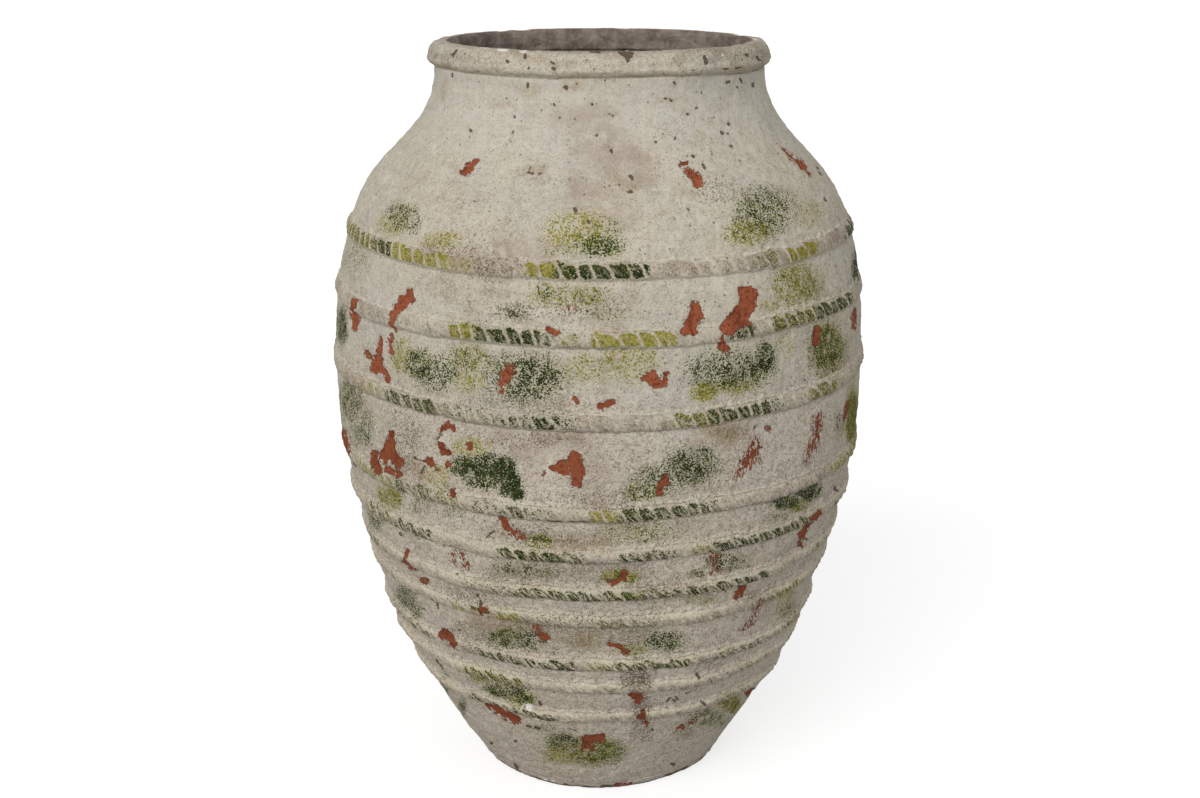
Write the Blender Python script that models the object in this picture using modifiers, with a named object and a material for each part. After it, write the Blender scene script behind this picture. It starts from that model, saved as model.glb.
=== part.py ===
"""A large coil-built storage jar, about 0.9 m tall, as the clay members that the potter lutes together.

A floor slab carries eight wall courses, each raised on the bevelled edge of the one below. A rolled rim closes
the top, a coil seals the inside corner at the floor, and ten rope bands go round the wall, seven of them over
the seams between courses. Lengths are in metres, +Z is up, and the origin is the middle of the foot.
"""

import math

import bpy

# Overall sizes
JAR_HEIGHT = 0.900
FOOT_RADIUS = 0.157
BELLY_RADIUS = 0.3205
BELLY_HEIGHT = 0.520
NECK_RADIUS = 0.1935

# Clay thicknesses
WALL_THICKNESS = 0.022
FLOOR_THICKNESS = 0.028
FLANGE_THICKNESS = 0.012
FOOT_EDGE_WEAR = 0.003
SEAL_COIL_SIZE = 0.016

# Luted joints: the film of slip between two members, and how far a seam climbs from the outside to the inside
SLIP_GAP = 0.0003
SEAM_RISE = 0.008
RIM_SEAM_RISE = 0.004

# Rolled rim
RIM_OVERHANG = 0.006
RIM_HEIGHT = 0.031
RIM_LAND_WIDTH = 0.006
# How far across the roll, from the mouth, the land's middle lies
rim_crest_share = 0.38

# Rope bands
ROPE_WIDTH = 0.021
ROPE_PROUD = 0.0048

# The longest straight stretch of the outer and of the inner outline
OUTER_STEP = 0.028
INNER_STEP = 0.050

# Shares of the way from the foot to the belly: (height, radius)
lower_outline_shares = [
    (0.00, 0.000),
    (0.05, 0.090),
    (0.14, 0.264),
    (0.25, 0.450),
    (0.36, 0.607),
    (0.50, 0.750),
    (0.64, 0.872),
    (0.77, 0.948),
    (0.88, 0.992),
    (1.00, 1.000),
]
# Shares of the way from the belly up to the neck: (height, how much of the belly's extra radius is left)
upper_outline_shares = [
    (0.13, 0.994),
    (0.23, 0.976),
    (0.335, 0.939),
    (0.435, 0.874),
    (0.54, 0.780),
    (0.62, 0.660),
    (0.70, 0.488),
    (0.77, 0.305),
    (0.82, 0.180),
    (0.88, 0.080),
    (0.94, 0.020),
    (1.00, 0.000),
]
# Middles of the rope bands from the top down, as shares of the jar's height
band_height_shares = [0.764, 0.687, 0.590, 0.475, 0.418, 0.363, 0.320, 0.251, 0.213, 0.159]
ROPE_BANDS = [f"rope_band_{number:02d}" for number, _ in enumerate(band_height_shares, start=1)]
# A rope band's section from its top edge down: (share of its width above its middle, share of its height)
rope_section_shares = [(0.50, 0.00), (0.36, 0.56), (0.02, 1.00), (-0.36, 0.78), (-0.50, 0.00)]

# Each wall course from the foot up, and the rope band over the seam at its top
COURSES = (
    ("foot_course", "rope_band_10"),
    ("lower_wall_course", "rope_band_08"),
    ("middle_wall_course", "rope_band_06"),
    ("lower_belly_course", "rope_band_04"),
    ("belly_course", "rope_band_03"),
    ("upper_belly_course", "rope_band_02"),
    ("lower_shoulder_course", "rope_band_01"),
    ("shoulder_and_neck_course", None),
)

STEPS_ROUND = 44
RIM_ARC_STEPS = 5
AXIS_MERGE = 0.0001

LIMEWASH = ("limewashed_clay", (0.50, 0.46, 0.38, 1.0), 0.92)
PAINTED_ROPE = ("painted_rope_clay", (0.44, 0.43, 0.32, 1.0), 0.88)
BARE_CLAY = ("bare_fired_clay", (0.30, 0.22, 0.16, 1.0), 0.95)


def outline_knots():
    """(height, radius) points of the outer wall, from the foot to the top of the neck."""
    neck_height = JAR_HEIGHT - RIM_HEIGHT
    lower = [
        (BELLY_HEIGHT * up, FOOT_RADIUS + (BELLY_RADIUS - FOOT_RADIUS) * out)
        for up, out in lower_outline_shares
    ]
    upper = [
        (BELLY_HEIGHT + (neck_height - BELLY_HEIGHT) * up, NECK_RADIUS + (BELLY_RADIUS - NECK_RADIUS) * out)
        for up, out in upper_outline_shares
    ]
    return lower + upper


def knot_slopes(knots):
    """The outline's slope, radius over height, at each knot."""
    slopes = []
    for i in range(len(knots)):
        below = knots[max(i - 1, 0)]
        above = knots[min(i + 1, len(knots) - 1)]
        slopes.append((above[1] - below[1]) / (above[0] - below[0]))
    return slopes


KNOTS = outline_knots()
SLOPES = knot_slopes(KNOTS)


def outline(height):
    """(radius, slope) of the smooth outer wall at a height, by a cubic through the knots."""
    i = 0
    while i < len(KNOTS) - 2 and height > KNOTS[i + 1][0]:
        i += 1
    (z0, r0), (z1, r1) = KNOTS[i], KNOTS[i + 1]
    span = z1 - z0
    t = (height - z0) / span
    m0 = SLOPES[i] * span
    m1 = SLOPES[i + 1] * span
    radius = (
        (2 * t**3 - 3 * t**2 + 1) * r0
        + (t**3 - 2 * t**2 + t) * m0
        + (3 * t**2 - 2 * t**3) * r1
        + (t**3 - t**2) * m1
    )
    slope = (
        (6 * t**2 - 6 * t) * r0 + (3 * t**2 - 4 * t + 1) * m0 + (6 * t - 6 * t**2) * r1 + (3 * t**2 - 2 * t) * m1
    ) / span
    return radius, slope


def inner_point(height):
    """The inner face's point that faces the outer wall's point at this height, as (radius, height)."""
    radius, slope = outline(height)
    run = math.hypot(1, slope)
    return radius - WALL_THICKNESS / run, height + WALL_THICKNESS * slope / run


def band_middle(band):
    """Height of a rope band's middle."""
    return band_height_shares[ROPE_BANDS.index(band)] * JAR_HEIGHT


def seat_edges(band):
    """Heights of the lower and the upper edge of a rope band's flat seat on the wall."""
    middle = band_middle(band)
    slope = outline(middle)[1]
    half = ROPE_WIDTH / 2 / math.hypot(1, slope)
    return middle - half, middle + half


def spread(low, high, longest):
    """Heights from low to just under high, evenly spaced and no further apart than longest."""
    count = max(1, math.ceil((high - low) / longest))
    return [low + (high - low) * i / count for i in range(count)]


def face_heights():
    """Heights of the outer wall's edges: the edges of every band's seat, and points between them."""
    neck_height = JAR_HEIGHT - RIM_HEIGHT
    heights = []
    low = 0.0
    for band in reversed(ROPE_BANDS):
        bottom, top = seat_edges(band)
        heights += spread(low, bottom, OUTER_STEP) + [bottom]
        low = top
    return heights + spread(low, neck_height, OUTER_STEP) + [neck_height]


FACE = [(height, outline(height)[0]) for height in face_heights()]


def face_radius(height):
    """Radius of the wall's outer face as built, straight between the heights of FACE."""
    for (z0, r0), (z1, r1) in zip(FACE, FACE[1:]):
        if height <= z1:
            break
    return r0 + (r1 - r0) * (height - z0) / (z1 - z0)


def outer_side(low, high):
    """(radius, height) points down the outer face from high to low."""
    between = [height for height, _ in FACE if low < height < high]
    return [(face_radius(z), z) for z in [high, *reversed(between), low]]


def inner_side(low, high):
    """(radius, height) points up the inner face, between the outer heights low and high."""
    return [inner_point(z) for z in [*spread(low, high, INNER_STEP), high]]


def floor_corner():
    """Outer height whose inner point lies level with the top of the floor, to within a tenth of the slip."""
    low = 0.0
    high = FLOOR_THICKNESS
    while high - low > SLIP_GAP / 10:
        middle = (low + high) / 2
        if inner_point(middle)[1] > FLOOR_THICKNESS:
            high = middle
        else:
            low = middle
    return low


def foot_inner_side():
    """(radius, height) points up the inner face of the lowest course, from the floor."""
    corner_radius = inner_point(floor_corner())[0]
    seam = band_middle(COURSES[0][1])
    rest = inner_side(floor_corner(), seam + SEAM_RISE / 2)[1:]
    return [(corner_radius, FLOOR_THICKNESS), *rest]


def make_material(name, colour, roughness):
    material = bpy.data.materials.new(name)
    material.use_nodes = True
    shader = material.node_tree.nodes["Principled BSDF"]
    shader.inputs["Base Color"].default_value = colour
    shader.inputs["Roughness"].default_value = roughness
    shader.inputs["Metallic"].default_value = 0.0
    material.diffuse_color = colour
    return material


def turned_piece(name, section, base_height, material, closed=True):
    """One clay member: a section of (radius, height) points turned round the jar's axis.

    The section runs down the outer side first. Its object stands at base_height, with the section's points
    measured from there. A section that isn't closed starts and ends on the axis.
    """
    mesh = bpy.data.meshes.new(name)
    points = [(radius, 0.0, height - base_height) for radius, height in section]
    edges = [(i, i + 1) for i in range(len(points) - 1)]
    if closed:
        edges.append((len(points) - 1, 0))
    mesh.from_pydata(points, edges, [])
    mesh.materials.append(material)
    piece = bpy.data.objects.new(name, mesh)
    piece.location = (0.0, 0.0, base_height)
    screw = piece.modifiers.new("turned", "SCREW")
    screw.axis = "Z"
    screw.angle = math.tau
    screw.steps = STEPS_ROUND
    screw.render_steps = STEPS_ROUND
    screw.use_merge_vertices = True
    screw.merge_threshold = AXIS_MERGE
    screw.use_smooth_shade = True
    return piece


def floor_slab(material):
    """The disc that the jar is raised on, with a flange for the first course to stand on."""
    core = foot_inner_side()[0][0] - SLIP_GAP
    section = [
        (0.0, FLOOR_THICKNESS),
        (core, FLOOR_THICKNESS),
        (core, FLANGE_THICKNESS),
        (face_radius(FLANGE_THICKNESS), FLANGE_THICKNESS),
        (face_radius(FOOT_EDGE_WEAR), FOOT_EDGE_WEAR),
        (face_radius(0.0) - FOOT_EDGE_WEAR, 0.0),
        (0.0, 0.0),
    ]
    return turned_piece("floor_slab", section, 0.0, material, closed=False)


def floor_seal_coil(material):
    """The coil that the potter presses into the inside corner between the floor and the wall."""
    corner, above = foot_inner_side()[:2]
    slope = (above[0] - corner[0]) / (above[1] - corner[1])
    floor = FLOOR_THICKNESS + SLIP_GAP
    back = corner[0] - SLIP_GAP * math.hypot(1, slope)
    section = [
        (back + slope * SEAL_COIL_SIZE, floor + SEAL_COIL_SIZE),
        (back, floor),
        (back - SEAL_COIL_SIZE, floor),
        (back - SEAL_COIL_SIZE / 4, floor + SEAL_COIL_SIZE / 3),
    ]
    return turned_piece("floor_seal_coil", section, floor, material)


def wall_course(index, material):
    """One lift of the wall. Its ends are bevelled, so that each course nests on the one below."""
    name, top_band = COURSES[index]
    bevel = SEAM_RISE / 2
    neck_height = JAR_HEIGHT - RIM_HEIGHT
    if top_band:
        high = band_middle(top_band) - bevel
        inner_high = high + SEAM_RISE
    else:
        high = neck_height
        inner_high = neck_height
    if index == 0:
        low = FLANGE_THICKNESS + SLIP_GAP
        inner = foot_inner_side()
        inner.insert(0, (inner[0][0], low))
    else:
        low = band_middle(COURSES[index - 1][1]) - bevel + SLIP_GAP
        inner = inner_side(low + SEAM_RISE, inner_high)
    if not top_band:
        inner[-1] = (inner_point(neck_height)[0], neck_height + RIM_SEAM_RISE)
    return turned_piece(name, outer_side(low, high) + inner, low, material)


def rim_roll(material):
    """The thick rolled lip, with a narrow flat land on top that a cover rests on."""
    neck_height = JAR_HEIGHT - RIM_HEIGHT
    mouth = inner_point(neck_height)[0]
    rim_radius = NECK_RADIUS + RIM_OVERHANG
    land_middle = mouth + rim_crest_share * (rim_radius - mouth)
    land_outer = land_middle + RIM_LAND_WIDTH / 2
    land_inner = land_middle - RIM_LAND_WIDTH / 2
    outward = rim_radius - land_outer
    inward = land_inner - mouth
    rise = RIM_HEIGHT / 2
    waist = JAR_HEIGHT - rise
    tuck = math.acos((NECK_RADIUS - land_outer) / outward)
    outer_arc = []
    for i in range(RIM_ARC_STEPS + 1):
        angle = math.pi / 2 - (math.pi / 2 + tuck) * i / RIM_ARC_STEPS
        outer_arc.append((land_outer + outward * math.cos(angle), waist + rise * math.sin(angle)))
    inner_arc = []
    for i in range(1, RIM_ARC_STEPS):
        angle = math.pi / 2 * i / (RIM_ARC_STEPS - 1)
        inner_arc.append((land_inner - inward * math.cos(angle), waist + rise * math.sin(angle)))
    seat = neck_height + SLIP_GAP
    section = [*outer_arc, (face_radius(neck_height), seat), (mouth, seat + RIM_SEAM_RISE), *inner_arc]
    return turned_piece("rim_roll", section, seat, material)


def rope_band(band, material):
    """A rope of clay pressed onto the wall's flat seat, fuller and undercut below, feathered above."""
    low, high = seat_edges(band)
    low_radius = face_radius(low)
    high_radius = face_radius(high)
    width = math.hypot(high - low, high_radius - low_radius)
    along = ((high_radius - low_radius) / width, (high - low) / width)
    out = (along[1], -along[0])
    middle = ((low_radius + high_radius) / 2, (low + high) / 2)
    section = []
    for up, proud in rope_section_shares:
        off = SLIP_GAP + proud * ROPE_PROUD
        section.append(
            (middle[0] + along[0] * up * width + out[0] * off, middle[1] + along[1] * up * width + out[1] * off)
        )
    return turned_piece(band, section, middle[1], material)


def main():
    for old in list(bpy.data.objects):
        bpy.data.objects.remove(old)
    limewash = make_material(*LIMEWASH)
    rope_paint = make_material(*PAINTED_ROPE)
    bare_clay = make_material(*BARE_CLAY)
    pieces = [floor_slab(bare_clay), floor_seal_coil(bare_clay), rim_roll(limewash)]
    pieces += [wall_course(index, limewash) for index in range(len(COURSES))]
    pieces += [rope_band(band, rope_paint) for band in ROPE_BANDS]
    collection = bpy.data.collections.new("Storage jar")
    bpy.context.scene.collection.children.link(collection)
    holder = bpy.data.objects.new("storage_jar", None)
    collection.objects.link(holder)
    for piece in pieces:
        piece.parent = holder
        collection.objects.link(piece)


main()
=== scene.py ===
"""The looks of a hand-built storage jar: worn limewash over red clay, sponged paint, and rope bands.

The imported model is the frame. Each of its clay members is replaced by a finely modelled piece in its place.
Everything is in metres, with +Z up and the viewer on the -Y side.
"""

import math

import bmesh
import bpy
import numpy as np
from mathutils.bvhtree import BVHTree
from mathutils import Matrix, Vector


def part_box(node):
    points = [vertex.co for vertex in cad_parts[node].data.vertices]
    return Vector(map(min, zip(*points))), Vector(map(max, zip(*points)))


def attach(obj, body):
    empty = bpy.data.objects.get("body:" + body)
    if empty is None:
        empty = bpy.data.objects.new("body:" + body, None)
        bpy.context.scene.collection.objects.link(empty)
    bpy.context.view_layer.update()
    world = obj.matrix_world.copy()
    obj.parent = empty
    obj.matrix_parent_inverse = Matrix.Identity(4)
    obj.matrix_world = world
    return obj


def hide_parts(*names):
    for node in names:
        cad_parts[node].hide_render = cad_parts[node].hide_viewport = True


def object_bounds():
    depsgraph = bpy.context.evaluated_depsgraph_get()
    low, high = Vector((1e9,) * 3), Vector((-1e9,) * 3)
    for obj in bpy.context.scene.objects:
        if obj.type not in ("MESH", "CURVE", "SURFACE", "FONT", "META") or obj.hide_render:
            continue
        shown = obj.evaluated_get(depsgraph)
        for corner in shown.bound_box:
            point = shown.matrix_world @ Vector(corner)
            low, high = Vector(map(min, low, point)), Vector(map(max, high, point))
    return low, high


bl_info = {
    "name": "Limewashed storage jar",
    "version": (1, 0, 0),
    "blender": (4, 5, 0),
    "location": "3D View > Sidebar > Storage Jar",
    "description": "Builds a worn, painted clay storage jar with rope bands round its wall",
    "category": "Add Mesh",
}

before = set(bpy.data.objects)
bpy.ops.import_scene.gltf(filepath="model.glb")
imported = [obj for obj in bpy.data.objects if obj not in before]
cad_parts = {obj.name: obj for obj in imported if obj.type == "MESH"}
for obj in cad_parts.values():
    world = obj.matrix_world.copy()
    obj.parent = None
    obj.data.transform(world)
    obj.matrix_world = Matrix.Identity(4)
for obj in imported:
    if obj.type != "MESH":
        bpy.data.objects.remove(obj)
CAD_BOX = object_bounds()

BODY = "root"

# The clay members, from the foot up, and the rope bands, from the top down
COURSES = (
    "foot_course",
    "lower_wall_course",
    "middle_wall_course",
    "lower_belly_course",
    "belly_course",
    "upper_belly_course",
    "lower_shoulder_course",
    "shoulder_and_neck_course",
)
RIM = "rim_roll"
SLAB = "floor_slab"
SEAL = "floor_seal_coil"
BANDS = tuple(f"rope_band_{number:02d}" for number in range(1, 11))

# The photograph's camera, and its image in pixels
IMAGE_WIDTH = 1200
IMAGE_HEIGHT = 798
CAMERA_PLACE = (0.001, -1.925, 1.039)
CAMERA_PITCH = math.radians(16.8)
CAMERA_LENS = 48.1
SENSOR_WIDTH = 36.0

# The studio: half the floor's width, how far light lifts it towards white, and the surround's own light
FLOOR_HALF = 40.0
FLOOR_LIFT = 0.68
SURROUND_LIGHT = 0.42

MILLIMETRE = 0.001
FULL_TURN = math.tau

# How finely the members are modelled
SECTORS = 30
WALL_STEPS = 810
WALL_ROW = 0.0024
INSIDE_ROW = 0.016
ROPE_STEP = 0.00108
RIM_STEPS = 840
RIM_ROWS = 72
SLAB_STEPS = 360
SEAL_STEPS = 240
MERGE_DISTANCE = 0.00001

# The luted joints, as the frame has them: the film of slip, and how far a seam climbs towards the inside
SLIP = 0.0003
SEAM_RISE = 0.008

# The jar's outline is kept within the frame's box, this far inside it
BOX_MARGIN = MILLIMETRE / 20

# How far the rope bands sag below their level, in millimetres, at angles from left to right in the view
SAG_ANGLES = (-150, -130, -110, -90, -70, -50, -30)
BAND_SAG_MM = (
    (-2.6, -1.0, 0.0, 0.0, 0.0, 0.0, -3.4),
    (0.8, 0.0, -0.8, 0.0, 0.0, -2.6, -2.8),
    (-1.0, -1.0, 2.0, 1.6, 0.6, 0.0, -2.0),
    (-1.0, 0.0, 1.6, 2.2, 1.2, -1.0, -1.0),
    (0.0, 0.0, 1.6, 1.6, -0.4, 1.0, 1.0),
    (2.0, 1.2, 2.0, 1.6, 2.2, 2.8, 2.2),
    (0.0, 0.0, 0.0, 1.2, 1.6, 2.2, 2.0),
    (0.0, 0.0, 1.6, 1.2, 1.8, 3.4, 3.2),
    (0.0, 0.0, 0.2, 1.2, 4.2, 5.2, 4.2),
    (0.0, 0.6, 1.2, 1.2, 2.4, 3.4, 3.0),
)

# How far the slip is smeared up over the joint under the rim, in millimetres, at angles round the jar
SMEAR_ANGLES = (-150, -115, -90, -65, -50, -33, -10, 90)
SMEAR_MM = (3.0, 2.3, 3.7, 3.7, 2.2, 0.0, 0.6, 2.0)
SMEAR_REACH = 0.012
SMEAR_PROUD = 0.0012

# A rope band's section, from its lower edge to the clay smeared up the wall above it:
# (share of the rope's width above its middle, share of its height)
ROPE_SECTION = (
    (-0.62, -0.2), (-0.57, -0.02), (-0.53, 0.12), (-0.5, 0.34), (-0.46, 0.6), (-0.41, 0.79),
    (-0.35, 0.91), (-0.27, 0.98), (-0.18, 1), (-0.08, 0.98), (0.01, 0.93), (0.09, 0.84), (0.165, 0.7),
    (0.23, 0.53), (0.28, 0.37), (0.315, 0.27), (0.345, 0.37), (0.375, 0.36), (0.415, 0.24), (0.47, 0.13),
    (0.54, 0.04), (0.62, -0.1), (0.72, -0.28),
)

# How high the twist marks reach on each band, as a share of its width above its middle
TWIST_TOPS = (0.25, 0.24, 0.22, 0.20, 0.14, 0.12, 0.08, 0.10, 0.10, 0.10)

# How far each band's twist marks lean across it, in twist marks, and how hard its lower edge was combed,
# which also sets the painted shade on its lower face
TWIST_LEANS = (0.50, 0.52, 0.55, 0.60, 0.85, 0.95, 0.95, 0.95, 0.95, 0.95)
COMB_AND_SHADE_SHARES = (0.35, 0.45, 0.60, 0.70, 0.85, 1.00, 1.00, 1.00, 1.00, 1.00)

# How much creamier the crest of each band is than the wall, as cream wash and a painted highlight on its lit
# top, and how far it is rubbed to a pinkish film
CREST_CREAM_AND_HIGHLIGHT = (0.10, 0.15, 0.15, 0.25, 0.45, 0.65, 0.80, 0.70, 0.80, 0.80)
RUBBED_SHARES = (1.30, 0.70, 0.65, 0.50, 0.24, 0.00, 0.00, 0.00, 0.00, 0.00)

# The four upper bands keep a clear crease and lip above the rope, with strong painted shade in the crease and
# a painted highlight on the lip, and the lower ones are smeared over
CREASED_BANDS = 4
CREASE_UP = 0.315
LIP_UP = 0.400

# How deep a band's back lies in the wall, as a share of the rope's height
ROPE_BACK_SHARE = -0.30

# How full each band stands, as a share of the rope's height
BAND_FULLNESS = (0.76, 0.80, 0.86, 0.92, 1.00, 1.00, 1.00, 1.00, 1.00, 1.00)

# Sponged dabs as the photograph shows them, in its pixels:
# (x, y, half width, half height, strength of green, strength of yellow)
DABS = (
    (391, 224, 20, 14, 0, 0.55), (399, 216, 17, 17, 0.58, 0.3), (413, 220, 9, 18, 0.46, 0),
    (443, 240, 24, 11, 0, 0.55), (578, 232, 40, 26, 0.06, 0.62), (604, 232, 20, 16, 0.34, 0.3),
    (600, 246, 28, 14, 0.72, 0.3), (560, 250, 20, 8, 0.25, 0.3), (766, 203, 34, 20, 0.56, 0.1),
    (762, 214, 32, 28, 0.58, 0.3), (748, 232, 28, 16, 0.3, 0.64), (787, 208, 12, 20, 0.36, 0),
    (809, 213, 17, 16, 0, 0.34), (351, 262, 12, 18, 0.3, 0.05), (543, 292, 9, 13, 0.5, 0.1),
    (513, 313, 17, 9, 0.42, 0), (562, 296, 44, 15, 0.1, 0.4), (592, 296, 26, 12, 0.3, 0.35),
    (606, 314, 30, 9, 0.26, 0.15), (796, 285, 30, 26, 0.26, 0.62), (812, 290, 17, 14, 0.42, 0.2),
    (772, 306, 12, 9, 0.1, 0.45), (342, 325, 7, 24, 0.85, 0.1), (402, 356, 14, 22, 0.15, 0.5),
    (420, 364, 18, 18, 0.72, 0.35), (438, 373, 26, 22, 0.56, 0.05), (468, 358, 22, 17, 0.42, 0.45),
    (526, 378, 46, 28, 0.66, 0.1), (505, 366, 30, 16, 0.5, 0.2), (470, 381, 20, 14, 0.12, 0.48),
    (592, 368, 32, 17, 0.1, 0.4), (630, 362, 38, 24, 0.04, 0.46), (728, 370, 52, 24, 0.6, 0.05),
    (766, 358, 14, 20, 0.84, 0.05), (746, 372, 34, 11, 0.74, 0.2), (703, 392, 15, 11, 0.2, 0.92),
    (733, 386, 26, 10, 0.25, 0.55), (827, 349, 21, 31, 0.66, 0.6), (788, 345, 10, 14, 0, 0.32),
    (352, 398, 14, 28, 0.56, 0.15), (361, 430, 13, 22, 0.48, 0.1), (464, 467, 20, 13, 0.8, 0.05),
    (489, 468, 27, 17, 0.84, 0), (484, 480, 28, 12, 0.72, 0.05), (503, 470, 16, 17, 0.9, 0),
    (510, 484, 16, 15, 0.96, 0), (517, 494, 10, 8, 0.92, 0), (470, 447, 24, 11, 0.05, 0.52),
    (436, 478, 15, 15, 0.05, 0.48), (440, 493, 13, 6, 0.44, 0.44), (660, 480, 32, 18, 0.5, 0.05),
    (690, 466, 30, 22, 0.66, 0.05), (702, 455, 16, 12, 0.6, 0), (640, 492, 22, 10, 0.5, 0.3),
    (720, 432, 20, 12, 0.05, 0.11), (852, 418, 9, 34, 0.55, 1.05), (857, 268, 7, 26, 0.92, 0.1),
    (358, 250, 14, 30, 0.3, 0.06), (838, 424, 7, 16, 0.4, 0), (390, 497, 16, 17, 0.36, 0.62),
    (418, 505, 10, 10, 0.34, 0.05), (455, 512, 13, 8, 0.28, 0), (376, 518, 12, 16, 0.52, 0),
    (640, 532, 48, 14, 0.26, 0.26), (784, 499, 20, 13, 0.78, 0.1), (808, 490, 15, 14, 0.86, 0.05),
    (798, 506, 14, 8, 0.4, 0.6), (778, 516, 14, 6, 0.34, 0.05), (540, 541, 16, 8, 0.5, 0.62),
    (515, 567, 24, 7, 0.5, 0.05), (530, 573, 34, 6, 0.3, 0.05), (620, 577, 24, 9, 0.32, 0.66),
    (726, 563, 28, 11, 0.48, 0.05), (697, 573, 9, 5, 0.5, 0.05), (700, 599, 20, 7, 0.22, 0.22),
    (406, 596, 13, 20, 0.6, 0.05), (416, 612, 8, 12, 0.58, 0), (514, 640, 36, 15, 0.62, 0.1),
    (503, 636, 18, 9, 0.36, 0.35), (583, 640, 38, 11, 0.04, 0.12), (664, 640, 25, 13, 0.58, 0.1),
    (632, 650, 20, 8, 0.34, 0.44), (785, 595, 12, 8, 0.1, 0.5), (789, 612, 15, 14, 0.44, 0.3),
    (484, 676, 18, 9, 0.4, 0.55), (506, 690, 26, 10, 0.68, 0.36), (520, 698, 19, 8, 0.6, 0.6),
    (445, 685, 5, 14, 0.6, 0.2), (462, 706, 5, 13, 0.56, 0.2), (730, 702, 14, 13, 0.44, 0.7),
    (708, 718, 24, 12, 0.46, 0.1), (684, 733, 16, 8, 0.3, 0.05), (564, 742, 20, 11, 0.62, 0.25),
    (594, 750, 34, 15, 0.55, 0.6), (562, 753, 22, 11, 0.2, 0.6), (616, 752, 14, 13, 0.52, 0.1),
    (545, 727, 15, 5, 0.34, 0.05),
)

# Flakes knocked off down to the red clay, as strokes in the photograph's pixels: (half width, x, y, x, y)
CHIPS = (
    (2.4, 476, 162, 472, 167), (4.6, 470, 168, 464, 173), (1.4, 680, 165, 686, 163),
    (2.2, 686, 168, 690, 172), (3.8, 691, 173, 695, 177), (3, 697, 179, 698, 184),
    (1.3, 700, 176, 701, 178), (1.2, 782, 150, 788, 155), (1.8, 788, 156, 795, 161),
    (3, 797, 162, 802, 167), (1, 804, 169, 809, 175), (3.5, 357, 302, 356, 306),
    (1.6, 356, 306, 355, 314), (4.4, 355, 316, 355, 321), (2.2, 355, 322, 356, 330),
    (4, 409, 293, 410, 300), (5.4, 405, 299, 401, 306), (4.2, 398, 308, 396, 315),
    (3.6, 394, 316, 394, 322), (2, 394, 327, 395, 332), (2.8, 392, 336, 390, 345),
    (2.3, 390, 345, 392, 353), (2, 381, 336, 380, 350), (2.8, 380, 350, 377, 358),
    (2.4, 366, 352, 373, 361), (6.2, 377, 360, 376, 368), (2.8, 381, 368, 388, 379),
    (2.6, 548, 330, 558, 333), (2.8, 576, 400, 577, 402), (3.6, 601, 407, 613, 402),
    (3.4, 643, 379, 653, 375), (5.6, 650, 378, 656, 384), (4.2, 658, 386, 664, 384),
    (2.8, 664, 384, 667, 374), (6, 695, 306, 697, 314), (6.8, 696, 316, 690, 326),
    (4.4, 690, 328, 684, 331), (2.8, 694, 328, 692, 334), (4.8, 742, 291, 753, 293),
    (8.2, 748, 295, 745, 308), (8.2, 744, 309, 736, 318), (7.2, 735, 319, 726, 328),
    (3.8, 738, 322, 745, 323), (2.8, 726, 330, 731, 333), (1.8, 720, 337, 721, 344),
    (4.2, 721, 345, 726, 348), (3.4, 818, 329, 815, 343), (2.4, 854, 309, 853, 327),
    (1.6, 846, 402, 843, 418), (2, 344, 429, 346, 436), (2.4, 347, 438, 350, 452),
    (1.6, 355, 462, 356, 464), (2.8, 391, 433, 389, 445), (6.2, 389, 446, 385, 456),
    (3.8, 386, 456, 384, 461), (4.3, 391, 452, 399, 464), (3.4, 374, 454, 373, 463),
    (3.3, 374, 463, 381, 470), (2.7, 388, 468, 400, 475), (2.7, 440, 430, 447, 424),
    (2.4, 447, 424, 453, 430), (2, 439, 436, 438, 438), (3.7, 440, 446, 442, 452),
    (2.4, 442, 452, 449, 454), (2.8, 468, 445, 468, 448), (3.4, 428, 461, 431, 465),
    (1.8, 433, 467, 434, 471), (2.2, 446, 464, 447, 466), (2.4, 451, 492, 454, 496),
    (3, 573, 455, 576, 462), (2.4, 580, 457, 582, 468), (7.4, 574, 463, 578, 473),
    (4.6, 576, 477, 577, 483), (3.4, 554, 468, 566, 472), (3.4, 562, 463, 565, 470),
    (1.6, 544, 473, 545, 474), (2.8, 503, 518, 509, 527), (1.9, 408, 551, 406, 560),
    (2.6, 406, 560, 411, 567), (1.3, 411, 567, 422, 573), (2.4, 422, 580, 426, 582),
    (2.1, 434, 600, 437, 606), (1.8, 482, 609, 487, 607), (3.7, 665, 478, 666, 484),
    (3.7, 661, 485, 659, 492), (1.8, 756, 427, 756, 429), (2.6, 767, 427, 768, 429),
    (2.8, 817, 512, 810, 518), (2.4, 811, 523, 805, 532), (2.7, 803, 534, 801, 545),
    (2.5, 624, 569, 625, 578), (3, 624, 577, 612, 582), (1.5, 612, 582, 604, 580),
    (2.8, 743, 585, 738, 593), (2.3, 737, 592, 735, 597), (3.3, 443, 632, 452, 637),
    (2.8, 453, 637, 456, 643), (2.8, 541, 636, 547, 640), (2.4, 609, 645, 618, 647),
    (3.3, 618, 647, 627, 652), (3.8, 489, 706, 500, 709), (4.4, 498, 711, 517, 720),
    (4.6, 633, 695, 639, 697), (2.6, 636, 700, 637, 702), (2, 637, 716, 642, 715),
    (2, 643, 712, 643, 716), (2, 642, 724, 646, 724), (1.6, 677, 730, 683, 726),
    (2.6, 748, 694, 752, 690), (3.9, 586, 739, 602, 738), (3, 585, 742, 587, 745),
    (1.3, 617, 784, 631, 784),
)

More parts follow.
